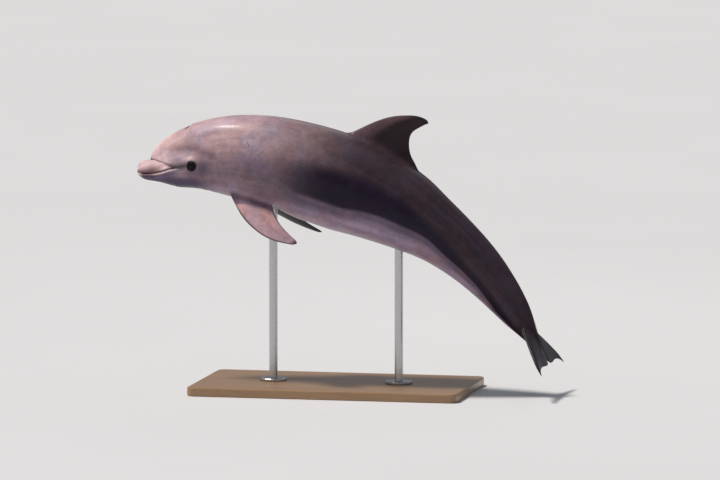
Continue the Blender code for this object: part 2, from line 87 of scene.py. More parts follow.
BEAK_HEIGHT = (
    (0.0, 0.0125), (0.010, 0.0172), (0.020, 0.0188), (0.029, 0.0202), (0.037, 0.0223), (0.045, 0.0243),
    (0.056, 0.0250), (0.075, 0.0215), (0.13, 0.012),
)
BEAK_HALF_WIDTH = (
    (0.0, 0.0135), (0.015, 0.0183), (0.03, 0.0218), (0.043, 0.0252), (0.055, 0.0292), (0.071, 0.0345),
    (0.08, 0.0372), (0.13, 0.030),
)
BEAK_TIP_STATION = -0.0030
BEAK_TIP_LENGTH = 0.018
BEAK_TIP_POWER = 2.1
CREASE_SOFTNESS = 0.0012

DORSAL_STATION = 0.415
DORSAL_PITCH = 24.0
DORSAL_LEADING = (
    (-0.055, -0.060), (0.0, 0.0), (0.033, 0.039), (0.066, 0.078), (0.100, 0.113), (0.138, 0.144),
    (0.178, 0.166), (0.221, 0.184), (0.252, 0.1885), (0.2705, 0.1855), (0.2786, 0.1774),
)
DORSAL_TRAILING = (
    (0.350, -0.060), (0.308, 0.0), (0.275, 0.022), (0.251, 0.049), (0.236, 0.081), (0.232, 0.107),
    (0.239, 0.128), (0.2515, 0.146), (0.2676, 0.1663), (0.2786, 0.1774),
)
DORSAL_HALF_THICKNESS = ((0.0, 0.0175), (0.2, 0.0150), (0.6, 0.0085), (1.0, 0.0035))
FLIPPER_STATION = 0.2035
FLIPPER_ANGLES = {"left": -56.0, "right": -50.0}
FLIPPER_POSES = {"left": (12.5, 8.0, 50.0), "right": (19.0, -8.0, 32.0)}
FLIPPER_LEADING = (
    (-0.030, -0.050), (0.000, 0.000), (0.033, 0.034), (0.066, 0.067), (0.106, 0.099), (0.140, 0.120),
    (0.174, 0.136), (0.213, 0.150), (0.276, 0.158), (0.322, 0.155), (0.345, 0.150), (0.354, 0.142),
)
FLIPPER_TRAILING = (
    (0.165, -0.050), (0.185, 0.000), (0.207, 0.032), (0.248, 0.074), (0.298, 0.107), (0.328, 0.123),
    (0.346, 0.1325), (0.354, 0.142),
)
FLIPPER_HALF_THICKNESS = ((0.0, 0.0190), (0.25, 0.0160), (0.6, 0.0090), (1.0, 0.0030))
FLUKE_STATION = 0.90
FLUKE_PITCH = 56.0
FLUKE_LEADING = (
    (-0.005, 0.0), (0.020, 0.030), (0.062, 0.080), (0.110, 0.135), (0.160, 0.184), (0.205, 0.219),
    (0.240, 0.234),
)
FLUKE_TRAILING = (
    (0.195, 0.0), (0.208, 0.014), (0.214, 0.040), (0.213, 0.082), (0.210, 0.125), (0.213, 0.168),
    (0.224, 0.208), (0.240, 0.234),
)
FLUKE_HALF_THICKNESS = ((0.0, 0.0150), (0.3, 0.0110), (0.7, 0.0060), (1.0, 0.0025))
FIN_EDGE = 0.0009  # half the thickness of the edges
FIN_TIP_CHORD = 0.030  # a tip thins out where the chord is less than this

EYE_STATION = 0.1235
EYE_ANGLE = 1.0
EYE_RADIUS = 0.017
EYE_BULGE = 0.0055

# The mouth's corner, and lines drawn on the skin, as (station, angle) points of the left side.
GAPE_STATION = 0.086
CREASE_LINE = (
    (0.0293, 90), (0.0305, 82), (0.037, 68), (0.0445, 55), (0.0585, 34), (0.070, 16.5), (0.081, 5.5),
    (0.096, 0.8), (0.1095, 3.0),
)
GAPE_FOLD_LINE = ((0.083, -0.5), (0.092, -2.5), (0.102, -6.5), (0.115, -12.5), (0.127, -19))
WRINKLE_LINES = (
    ((0.241, 37), (0.243, 31), (0.241, 26.5), (0.234, 25.5), (0.226, 27)),
    ((0.274, 25), (0.273, 21), (0.266, 17), (0.261, 12), (0.260, 7), (0.252, 2)),
)
BRIDLE_LINE = ((0.168, 17), (0.148, 27), (0.122, 40), (0.097, 46), (0.070, 60), (0.055, 80))

# How finely the skin is divided.
SIDES = 144  # points round each ring of the body
QUARTER = SIDES // 4
RING_SPACING = (
    (0.010, 0.0010), (0.026, 0.0008), (0.070, 0.0008), (0.090, 0.0012), (0.15, 0.0015), (0.24, 0.0040),
    (0.86, 0.0040),
)
TAIL_JOIN_STATION = 0.880
# How far each hole in the grid reaches ahead and behind, in stations, and half its width in columns.
DORSAL_BLOCK = (0.030, 0.188, 8)
FLIPPER_BLOCK = (0.022, 0.126, 7)
EYE_BLOCK = (0.0115, 0.0125, 7)
BLOWHOLE_BLOCK = (0.0115, 0.0205, 4)
# A flipper's root climbs round the chest toward the tail, so its hole lies at the middle of the angles that
# it covers. A hole's rim starts at its front, these columns below its middle.
FLIPPER_BLOCK_ANGLES = {"left": -56.0, "right": -57.0}
FLIPPER_BLOCK_STARTS = {"left": 0, "right": 3}
# The fillets at the fins' roots: fore and aft, sideways and up the fin.
DORSAL_FILLET = (0.030, 0.028, 0.034)
FLIPPER_FILLET = (0.016, 0.018, 0.018)
DORSAL_RINGS = 44
FLIPPER_RINGS = 46
# Loops of faces from a hole to its fillet, over the fillet, and from the tail stock to the flukes.
HOLE_LOOPS = 6
FILLET_LOOPS = 10
TAIL_LOOPS = 21
# The flukes' section has this many points. The middle of their front is open for the tail stock: so many
# metres and rings to each side, and so many points to each side of the front edge. Beyond it more rings
# follow, out to each tip.
FLUKE_SIDES = 74
FLUKE_JOIN_HALF_WIDTH = 0.058
FLUKE_JOIN_HALF_RINGS = 9
FLUKE_JOIN_HALF_POINTS = QUARTER - FLUKE_JOIN_HALF_RINGS
FLUKE_RINGS = 36
# The station that the flukes' points are marked with, for their colours.
FLUKE_COLOUR_STATION = 0.97


def smooth_step(value, low, high):
    """0 below low and 1 above high, eased between them. With low over high it falls instead."""
    t = np.clip((value - low) / (high - low), 0, 1)
    return t * t * (3 - 2 * t)


def bump(value, middle, width):
    """A bell of height 1."""
    return np.exp(-(((value - middle) / width) ** 2))


def smooth_curve(points, softness=0.0):
    """The smooth curve through (x, y) points, as a function of x that stays level beyond them.

    It is a monotone cubic, which doesn't overshoot. Softness averages it over about that much of x.
    """
    x, y = np.array(points, float).T
    run = np.diff(x)
    slope = np.diff(y) / run
    before, after = slope[:-1], slope[1:]
    weight_before = 2 * run[1:] + run[:-1]
    weight_after = run[1:] + 2 * run[:-1]
    turning = before * after <= 0
    product = np.where(turning, 1.0, before * after)
    share = weight_before * after + weight_after * before + turning
    mean = (weight_before + weight_after) * product / share
    tangent = np.concatenate([slope[:1], np.where(turning, 0.0, mean), slope[-1:]])

    def value(at):
        at = np.clip(at, x[0], x[-1])
        piece = np.clip(np.searchsorted(x, at) - 1, 0, len(run) - 1)
        t = (at - x[piece]) / run[piece]
        ends = y[piece] * (1 + 2 * t) * (1 - t) ** 2 + y[piece + 1] * t * t * (3 - 2 * t)
        return ends + run[piece] * (tangent[piece] * t * (1 - t) ** 2 - tangent[piece + 1] * t * t * (1 - t))

    if not softness:
        return value
    fine = np.linspace(x[0], x[-1], 2001)
    reach = softness * np.linspace(-2, 2, 17)
    share = np.exp(-((reach / softness) ** 2) / 2)
    share /= share.sum()
    # Past an end the curve is continued as its own point reflection, which keeps the end in place.
    at = fine[:, None] + reach
    inside = value(at)
    inside = np.where(at < x[0], 2 * y[0] - value(2 * x[0] - at), inside)
    inside = np.where(at > x[-1], 2 * y[-1] - value(2 * x[-1] - at), inside)
    softened = inside @ share
    return lambda at: np.interp(at, fine, softened)


def smooth_path(points):
    """The natural cubic spline through the points, as a function of 0 to 1 along it."""
    points = np.array(points, float)
    along = np.concatenate([[0.0], np.cumsum(np.linalg.norm(np.diff(points, axis=0), axis=1))])
    along /= along[-1]
    run = np.diff(along)
    system = np.eye(len(points))
    bend = np.zeros_like(points)
    for i in range(1, len(points) - 1):
        system[i, i - 1 : i + 2] = run[i - 1], 2 * (run[i - 1] + run[i]), run[i]
        bend[i] = 6 * ((points[i + 1] - points[i]) / run[i] - (points[i] - points[i - 1]) / run[i - 1])
    bend = np.linalg.solve(system, bend)

    def value(at):
        piece = np.clip(np.searchsorted(along, at) - 1, 0, len(run) - 1)
        width = run[piece][..., None]
        right = (at - along[piece])[..., None]
        left = width - right
        straight = (points[piece] * left + points[piece + 1] * right) / width
        curved_in = bend[piece] * (left**3 / width - left * width)
        curved_out = bend[piece + 1] * (right**3 / width - right * width)
        return straight + (curved_in + curved_out) / 6

    return value


back_height = smooth_curve(BACK_HEIGHT, 0.0018)
belly_depth = smooth_curve(BELLY_DEPTH, 0.006)
half_width = smooth_curve(HALF_WIDTH, 0.0018)
widest_level = smooth_curve(WIDEST_LEVEL, 0.002)
back_fullness = smooth_curve(BACK_FULLNESS)
belly_fullness = smooth_curve(BELLY_FULLNESS)
beak_height = smooth_curve(BEAK_HEIGHT)
beak_half_width = smooth_curve(BEAK_HALF_WIDTH)

SPINE_STATIONS = np.linspace(-0.05, 1.10, 2301)
SPINE_SLOPES = np.radians(smooth_curve(SPINE_PITCH, 0.02)(SPINE_STATIONS))


def spine_offsets(rate):
    """The distance from station 0 to each of SPINE_STATIONS, where rate is that per length of spine."""
    step = BODY_LENGTH * (SPINE_STATIONS[1] - SPINE_STATIONS[0])
    covered = np.concatenate([[0.0], np.cumsum((rate[1:] + rate[:-1]) / 2 * step)])
    return covered - np.interp(0.0, SPINE_STATIONS, covered)


SPINE_X = spine_offsets(np.cos(SPINE_SLOPES))
SPINE_Z = -spine_offsets(np.sin(SPINE_SLOPES))


def spine_at(station):
    """The spine's X, Z and downward slope."""
    return [np.interp(station, SPINE_STATIONS, values) for values in (SPINE_X, SPINE_Z, SPINE_SLOPES)]


def bent(station, across, height):
    """Points of the straight body, in metres off the spine, moved to their places on the bent one."""
    x, z, slope = spine_at(station)
    places = x + np.sin(slope) * height, across, z + np.cos(slope) * height
    return np.stack(np.broadcast_arrays(*places), axis=-1)


def oval(angle, width, above, below, fullness_above, fullness_below):
    """The radius, at an angle up from the side, of an oval that differs above and below its widest level."""
    rise = np.sin(angle)
    tall = np.where(rise > 0, above, below)
    fullness = np.where(rise > 0, fullness_above, fullness_below)
    return (np.abs(np.cos(angle) / width) ** fullness + np.abs(rise / tall) ** fullness) ** (-1 / fullness)


def section_forms(station, angle):
    """The radii of the main form and of the beak, in fractions of the body length."""
    level = widest_level(station)
    depth = belly_depth(station) + level
    shapes = back_fullness(station), belly_fullness(station)
    # The main form starts shallow, inside the beak.
    under_melon = np.clip((station - BACK_HEIGHT[0][0]) / 0.05, 0.2, 1.0)
    main = oval(angle, half_width(station), back_height(station) - level, depth * under_melon, *shapes)
    beak = oval(angle, beak_half_width(station), beak_height(station) - level, depth, *shapes)
    return main, beak


def section_radius(station, angle):
    """The skin's distance from the section's widest level at Y = 0, in fractions of the body length."""
    main, beak = section_forms(station, angle)
    nearness = np.clip(1 - np.abs(main - beak) / (2 * CREASE_SOFTNESS), 0, 1)
    joined = np.maximum(main, beak) + CREASE_SOFTNESS / 2 * nearness**2
    rounding = np.clip(1 - (station - BEAK_TIP_STATION) / BEAK_TIP_LENGTH, 0, 1) ** BEAK_TIP_POWER
    return joined * (1 - rounding) ** (1 / BEAK_TIP_POWER)


def plain_points(station, angle, lift=0.0):
    """Points of the solids' surface, lifted off it in metres. Angle 0 is the left side and 90 the back."""
    angle = np.radians(angle)
    radius = section_radius(station, angle) * BODY_LENGTH + lift
    height = widest_level(station) * BODY_LENGTH + radius * np.sin(angle)
    return bent(station, -radius * np.cos(angle), height)


def body_coordinates(points):
    """The station, angle and lift of points near the body."""
    x, y, z = np.moveaxis(points, -1, 0)
    station = np.clip((x - SPINE_X[0]) / BODY_LENGTH - 0.02, 0.0, 1.0)
    # The station slides along the spine until the point is square to it.
    for _ in range(40):
        spine_x, spine_z, slope = spine_at(station)
        ahead = (x - spine_x) * np.cos(slope) - (z - spine_z) * np.sin(slope)
        station = np.clip(station + 0.8 * ahead / BODY_LENGTH, -0.01, 1.09)
    spine_x, spine_z, _ = spine_at(station)
    height = (x - spine_x) * np.sin(slope) + (z - spine_z) * np.cos(slope)
    rise = height - widest_level(station) * BODY_LENGTH
    angle = np.degrees(np.arctan2(rise, -y)) % 360
    return station, angle, np.hypot(rise, y) - section_radius(station, np.radians(angle)) * BODY_LENGTH


def side_angle(angle):
    """The angle above or below the widest level, from -90 to 90, on whichever side the point is."""
    angle = (angle + 90) % 360 - 90
    return np.where(angle > 90, 180 - angle, angle)


def local_frame(station, angle):
    """A matrix at a point of the skin, with its Z axis straight out and its X axis to the tail."""
    small = 0.002
    point = Vector(plain_points(station, angle))
    aft = Vector(plain_points(station + small, angle)) - Vector(plain_points(station - small, angle))
    around = Vector(plain_points(station, angle + 1)) - Vector(plain_points(station, angle - 1))
    out = aft.cross(around).normalized()
    aft.normalize()
    rotation = Matrix((aft, out.cross(aft), out)).transposed().to_4x4()
    return Matrix.Translation(point) @ rotation


def eye_frame(angle):
    """A frame at the middle of an eyeball, with its Z axis straight out."""
    return local_frame(EYE_STATION, angle) @ Matrix.Translation((0, 0, EYE_BULGE - EYE_RADIUS))


# The frame says where the animal is: the middle of an eye's box is the middle of its ball.
eye_low, eye_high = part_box("eye_left")
offset = (eye_low + eye_high) / 2 - eye_frame(EYE_ANGLE).translation
SPINE_X = SPINE_X + offset.x
SPINE_Z = SPINE_Z + offset.z


def line_distance(station, angle, line):
    """How far points of the head are above a line on it, in metres, and how far along it, from 0 to 1."""
    samples = smooth_path(line)(np.linspace(0, 1, 60))
    on_line = plain_points(samples[:, 0], samples[:, 1])
    station, angle = np.broadcast_arrays(station, angle)
    distance, along = np.full(station.shape, 1.0), np.zeros(station.shape)
    near = (station > samples[:, 0].min() - 0.02) & (station < samples[:, 0].max() + 0.02)
    points = plain_points(station[near], angle[near])
    points[:, 1] = -np.abs(points[:, 1])
    nearest = np.linalg.norm(points[:, None] - on_line, axis=-1).argmin(-1)
    best, best_along, best_first = np.full(len(points), 1.0), np.zeros(len(points)), nearest
    # The nearest place is on one of the two pieces of the line beside its nearest sample.
    for first in (np.maximum(nearest - 1, 0), np.minimum(nearest, len(samples) - 2)):
        start, way = on_line[first], on_line[first + 1] - on_line[first]
        share = np.clip(((points - start) * way).sum(-1) / (way * way).sum(-1), 0, 1)
        away = np.linalg.norm(points - start - share[:, None] * way, axis=-1)
        closer = away < best
        best = np.where(closer, away, best)
        best_along = np.where(closer, (first + share) / (len(samples) - 1), best_along)
        best_first = np.where(closer, first, best_first)
    way = samples[np.minimum(best_first + 1, len(samples) - 1)] - samples[np.maximum(best_first - 1, 0)]
    ahead = np.stack([station[near], side_angle(angle[near])], axis=-1) - samples[best_first]
    above = np.sign(way[:, 0] * ahead[:, 1] - way[:, 1] * ahead[:, 0])
    distance[near], along[near] = best * above, best_along
    return distance, along


def greatest(*shares):
    """The greatest of some shares, kept within 0 and 1."""
    return np.clip(np.maximum.reduce(shares), 0, 1)


def signed_power(wave, power):
    """A power that keeps the sign of what it's taken of."""
    return np.sign(wave) * np.abs(wave) ** power


def brow_rise(aft):
    """The height over the eye of the brow's arch, for a distance aft of the eye."""
    return 0.0295 - 7.0 * np.clip(aft + 0.002, -0.04, 0.04) ** 2


# The fold under the eye, the hollows ahead of it and behind it, and the ear's pinhole: the height in
# millimetres, and the middle and width of each form along the body and around it, from the eye.
FORMS_NEAR_EYE = (
    (1.4, (0.000, 0.024), (-0.024, 0.010)), (-1.0, (-0.034, 0.014), (0.014, 0.012)),
    (-0.8, (0.042, 0.022), (0.000, 0.018)), (-1.4, (0.056, 0.0028), (-0.012, 0.0028)),
)


def relief(station, angle):
    """How far the skin's fine forms stand out of the plain body, in metres."""
    side = side_angle(angle)
    reach = section_radius(station, np.radians(angle)) * BODY_LENGTH
    rise = np.radians(side) * reach
    mm = 0.001
    mouth = smooth_step(station, GAPE_STATION + 0.001, GAPE_STATION - 0.010)
    groove = -2.4 * bump(rise, 0, 1.6 * mm)
    lips = 1.3 * bump(rise, 5.0 * mm, 3.2 * mm) + 1.1 * bump(rise, -4.6 * mm, 2.8 * mm)
    total = mouth * (groove + lips)
    # The crease between the beak and the melon runs on as a fold to the eye, and the mouth's corner as
    # one that drops under it.
    distance, along = line_distance(station, angle, CREASE_LINE)
    depth = np.interp(along, (0.0, 0.15, 0.5, 0.75, 0.95, 1.0), (2.4, 2.0, 1.9, 1.3, 1.0, 0.6))
    total -= depth * bump(distance, 0, np.interp(along, (0.0, 0.3), (4.6, 2.8)) * mm)
    distance, along = line_distance(station, angle, GAPE_FOLD_LINE)
    total -= np.interp(along, (0.0, 0.2, 1.0), (0.6, 1.1, 0.3)) * bump(distance, 0, 3.0 * mm)
    aft = (station - EYE_STATION) * BODY_LENGTH
    total += 5.4 * bump(aft, -0.003, 0.026) * bump(rise, brow_rise(aft), 0.011)
    for height, aft_place, rise_place in FORMS_NEAR_EYE:
        total += height * bump(aft, *aft_place) * bump(rise, *rise_place)
    # The throat's soft folds, and a shallow furrow along the middle of the belly.
    throat = smooth_step(station, 0.10, 0.13) * smooth_step(station, 0.19, 0.16) * smooth_step(side, -25, -50)
    total += 0.5 * throat * np.sin((station * BODY_LENGTH) / 0.0065 + 0.03 * side)
    belly = smooth_step(station, 0.25, 0.35) * smooth_step(station, 0.80, 0.70)
    total -= 1.2 * belly * bump(side, -90, 3.5)
    vent = bump(station, 0.655, 0.018) * bump(side, -90, 4.0)
    navel = bump(station, 0.47, 0.0035) * bump(side, -90, 3.0)
    return (total - 3.0 * vent - 3.0 * navel) * mm


def skin_points(station, angle, lift=0.0):
    return plain_points(station, angle, relief(station, angle) + lift)


# The grid of the body.
def ring_stations():
    """Stations from the tip of the beak to where the flukes begin."""
    turn = np.linspace(0, math.pi / 2, 15)
    tip = BEAK_TIP_STATION + BEAK_TIP_LENGTH * (1 - np.cos(turn) ** (2 / BEAK_TIP_POWER))
    spacing = smooth_curve(RING_SPACING)
    found = list(tip)
    while found[-1] < TAIL_JOIN_STATION - 0.0030:
        found.append(found[-1] + float(spacing(found[-1])))
    found[-1] = TAIL_JOIN_STATION
    return np.array(found)


def ring_angles(station):
    """The angles of a ring's points: even along its arc, and closer near the mouth on the head."""
    crowding = 0.62 * smooth_step(station, 0.22, 0.14)
    share = np.linspace(0, 1, QUARTER + 1)
    share = share * (1 - crowding) + crowding * share**2
    quarters = []
    for end in (90.0, -90.0):
        fine = np.linspace(0, end, 181)
        radius = section_radius(np.full_like(fine, max(station, 0.004)), np.radians(fine))
        x, y = radius * np.cos(np.radians(fine)), radius * np.sin(np.radians(fine))
        covered = np.concatenate([[0.0], np.cumsum(np.hypot(np.diff(x), np.diff(y)))])
        quarters.append(np.interp(share, covered / covered[-1], fine))
    above, below = quarters
    return np.concatenate([above, 180 - above[-2::-1], 180 - below[1:], 360 + below[-2:0:-1]])


stations = ring_stations()
grid_angle = np.array([ring_angles(station) for station in stations])
grid_station = np.repeat(stations[:, None], SIDES, axis=1)


class Skin:
    """Collects the points of the skin, what marks each, and the faces between them."""

    def __init__(self):
        self.points = []
        self.marks = []
        self.faces = []
        self.count = 0

    def add(self, points, **marks):
        points = np.asarray(points, float)
        shape = points.shape[:-1]
        rows = np.zeros((*shape, len(MARKS)))
        for name, value in marks.items():
            rows[..., MARKS.index(name)] = value
        self.points.append(points.reshape(-1, 3))
        self.marks.append(rows.reshape(-1, len(MARKS)))
        made = np.arange(self.count, self.count + len(self.points[-1])).reshape(shape)
        self.count += made.size
        return made

    def bridge(self, loops):
        """Faces between each closed loop and the next one, which has as many points."""
        for first, second in zip(loops, loops[1:]):
            corners = first, np.roll(first, -1), np.roll(second, -1), second
            self.faces += zip(*[corner.tolist() for corner in corners])

    def cap(self, loop, tip):
        """Faces between a closed loop and one point, given as the array that add returned."""
        self.faces += [(a, b, int(tip[0])) for a, b in zip(loop.tolist(), np.roll(loop, -1).tolist())]


# What is known of each point, for its colours: where it is on the body, how much it belongs to a fin and
# where on that fin it is.
MARKS = ("station", "side", "dorsal", "flipper", "fluke", "out", "chord", "under", "inner")
skin = Skin()


def add_points(points, station, angle, **marks):
    return skin.add(points, station=station, side=side_angle(angle) / 90, **marks)


def add_body_points(station, angle, lift=0.0, **marks):
    return add_points(skin_points(station, angle, lift), station, angle, **marks)


grid = add_body_points(grid_station, grid_angle)
removed = np.zeros((len(stations) - 1, SIDES), bool)


def rim_path(rows, columns):
    """The (row, column) steps round a rectangle, from the middle of its first row toward its first column."""
    middle = len(columns) // 2
    path = [(rows[0], column) for column in columns[middle:0:-1]]
    path += [(row, columns[0]) for row in rows[:-1]]
    path += [(rows[-1], column) for column in columns[:-1]]
    path += [(row, columns[-1]) for row in rows[:0:-1]]
    path += [(rows[0], column) for column in columns[:middle:-1]]
    return path


class Block:
    """A rectangle of the grid that is taken out, to join something in.

    Its extent is how far it reaches ahead and behind, in stations, and half its width in columns. Its rim
    starts in its front edge, a number of columns below the middle, and runs toward lower angles.
    """

    def __init__(self, station, angle, extent, start=0):
        ahead, behind, half = extent
        first, last = (int(row) for row in np.searchsorted(stations, (station - ahead, station + behind)))
        last -= (last - first) % 2
        middle = int(np.abs((grid_angle[(first + last) // 2] - angle + 180) % 360 - 180).argmin())
        rows = np.arange(first, last + 1)
        columns = np.arange(middle - half, middle + half + 1)
        removed[first:last, np.mod(columns[:-1], SIDES)] = True
        rows, columns = np.roll(np.transpose(rim_path(rows, columns)), -start, axis=1)
        columns = np.mod(columns, SIDES)
        self.rim = grid[rows, columns]
        self.station = grid_station[rows, columns]
        self.angle = angle + (grid_angle[rows, columns] - angle + 180) % 360 - 180
        self.size = len(self.rim)

    def between(self, station, angle, share):
        """The stations and angles of a loop that is a share of the way from another out to the rim."""
        return station + (self.station - station) * share, angle + (self.angle - angle) * share


def turns(count):
    """Even steps round a circle, in radians."""
    return np.arange(count) * 2 * math.pi / count


def arrays_of(place):
    return np.array(place.to_3x3()), np.array(place.translation)


# The fins.
def fin_surface(leading, trailing, half_thickness, place, sides):
    """A fin's surface as a function of how far out (0 to 1) and which of its section's points."""
    turn = turns(sides)
    chord = (1 - np.cos(turn)) / 2
    # Half the thickness of a common wing section that is 1 thick.
    wing = 1.49 * np.sqrt(chord) - 0.63 * chord - 1.76 * chord**2 + 1.42 * chord**3 - 0.52 * chord**4
    edge = FIN_EDGE * np.abs(np.sin(turn)) ** 0.4
    front_path, back_path = smooth_path(leading), smooth_path(trailing)
    thickness = smooth_curve(half_thickness)
    rotation, origin = arrays_of(place)

    def surface(out):
        """The points at each of the section's own values of out."""
        out = np.broadcast_to(out, (*np.shape(out)[:-1], sides))
        front, back = front_path(out), back_path(out)
        flat = front + (back - front) * chord[:, None]
        closing = np.sqrt(np.clip(np.linalg.norm(back - front, axis=-1) / FIN_TIP_CHORD, 0, 1))
        up = np.sign(np.sin(turn)) * (2 * thickness(out) * wing + edge) * closing
        return np.concatenate([flat, up[..., None]], axis=-1) @ rotation.T + origin

    return surface, turn, chord


def fin_frame(origin, aft, out):
    """A frame at a root's front, from its aft direction and the general direction outward."""
    aft = Vector(aft).normalized()
    out = Vector(out)
    out = (out - out.dot(aft) * aft).normalized()
    rotation = Matrix((aft, out, aft.cross(out))).transposed().to_4x4()
    return Matrix.Translation(Vector(origin)) @ rotation


def aft_at(pitch, turn=0.0):
    """The direction to the tail at a downward slope, turned toward +Y, both in degrees."""
    pitch, turn = math.radians(pitch), math.radians(turn)
    return math.cos(pitch) * math.cos(turn), math.cos(pitch) * math.sin(turn), -math.sin(pitch)


def curve_between(start, start_way, end, end_way, share):
    """Points of the cubic from start to end that leaves and arrives along the two ways."""
    t = share[:, None, None]
    fullness = 0.42
    length = np.linalg.norm(end - start, axis=-1, keepdims=True) * fullness
    first, second = start + start_way * length, end - end_way * length
    return start * (1 - t) ** 3 + 3 * first * t * (1 - t) ** 2 + 3 * second * t * t * (1 - t) + end * t**3


def unit(ways):
    return ways / np.linalg.norm(ways, axis=-1, keepdims=True)


def rising(lift, out):
    """The part of a fin's line from where it last leaves the body, for reading out at a lift."""
    inside = np.nonzero(lift < 0)[0]
    first = int(inside[-1]) if len(inside) else 0
    lift = np.maximum.accumulate(lift[first:])
    return lift + np.arange(len(lift)) * 1e-9, out[first:]


def smooth_loop(values, times):
    for _ in range(times):
        values = (np.roll(values, 1) + 2 * values + np.roll(values, -1)) / 4
    return values


def steps_to_tip(count):
    """Steps from 0 to 1 that shorten toward 1."""
    return 1 - (1 - np.linspace(0, 1, count)) ** 1.25


def join_fin(name, outlines, place, block, fillet, out_rings, under=0):
    """Joins a fin into the block with a smooth fillet of (fore and aft, sideways, height) sizes.

    Under is 1 or -1 where the upper or the lower half of its section faces the body.
    """
    surface, turn, chord = fin_surface(*outlines, place, block.size)
    fore, beside, tall = fillet
    out = np.linspace(0, 1, 500)[:, None]
    lift = body_coordinates(surface(out))[2]

    def out_at(heights):
        """How far out each of the section's points reaches its height over the body."""
        return np.array([np.interp(h, *rising(line, out[:, 0])) for h, line in zip(heights, lift.T)])

    # The fillet is lowest at the fin's two edges.
    start_out = smooth_loop(out_at(tall * (0.75 + 0.25 * np.abs(np.sin(turn)))), 2)
    # The half of each flipper's section that faces the body is marked, and painted dark as shade.
    under = smooth_step(under * np.sin(turn), -0.15, 0.35)
    foot = surface(out_at(np.zeros(block.size)))
    rotation, _ = arrays_of(place)
    spread = -np.cos(turn)[:, None] * fore * rotation[:, 0] + np.sin(turn)[:, None] * beside * rotation[:, 2]
    station, angle, _ = body_coordinates(foot + spread)
    angle = block.angle.mean() + (angle - block.angle.mean() + 180) % 360 - 180
    loops = [block.rim]
    for share in np.linspace(1, 0, HOLE_LOOPS + 1)[1:]:
        loops.append(add_body_points(*block.between(station, angle, share)))
    base = skin_points(station, angle)
    end = surface(start_out)
    inner = foot - base
    away = unit(skin_points(station, angle, 0.001) - base)
    start_way = unit(inner - (inner * away).sum(-1, keepdims=True) * away)
    end_way = unit(surface(np.minimum(start_out + 0.01, 1)) - end)
    shares = np.linspace(0, 1, FILLET_LOOPS + 1)[1:]
    for share, points in zip(shares, curve_between(base, start_way, end, end_way, shares)):
        marks = {name: smooth_step(share, 0.0, 1.0), "out": start_out * share, "under": under * share}
        loops.append(add_points(points, station, angle, chord=chord, **marks))
    for step in steps_to_tip(out_rings)[1:-1]:
        at = start_out + (1 - start_out) * step
        marks = {name: 1.0, "out": at, "chord": chord, "under": under}
        loops.append(add_points(surface(at), station, angle, **marks))
    skin.bridge(loops)
    tip = surface(np.full(block.size, 1.0)).mean(0)
    marks = {name: 1.0, "out": 1.0, "chord": 0.5, "side": side_angle(angle).mean() / 90}
    skin.cap(loops[-1], skin.add(tip[None], station=station.mean(), **marks))


def join_dorsal_fin():
    place = fin_frame(plain_points(DORSAL_STATION, 90), aft_at(DORSAL_PITCH), (0, 0, 1))
    block = Block(DORSAL_STATION, 90, DORSAL_BLOCK)
    outlines = DORSAL_LEADING, DORSAL_TRAILING, DORSAL_HALF_THICKNESS
    join_fin("dorsal", outlines, place, block, DORSAL_FILLET, DORSAL_RINGS)


def join_flippers():
    outlines = FLIPPER_LEADING, FLIPPER_TRAILING, FLIPPER_HALF_THICKNESS
    for side, sign in (("left", -1), ("right", 1)):
        pitch, splay, droop = FLIPPER_POSES[side]
        droop = math.radians(droop)
        root = plain_points(FLIPPER_STATION, FLIPPER_ANGLES[side]) * (1, -sign, 1)
        place = fin_frame(root, aft_at(pitch, sign * splay), (0, sign * math.cos(droop), -math.sin(droop)))
        middle = FLIPPER_BLOCK_ANGLES[side]
        angle = middle % 360 if sign < 0 else 180 - middle
        block = Block(FLIPPER_STATION, angle, FLIPPER_BLOCK, FLIPPER_BLOCK_STARTS[side])
        join_fin("flipper", outlines, place, block, FLIPPER_FILLET, FLIPPER_RINGS, -sign)


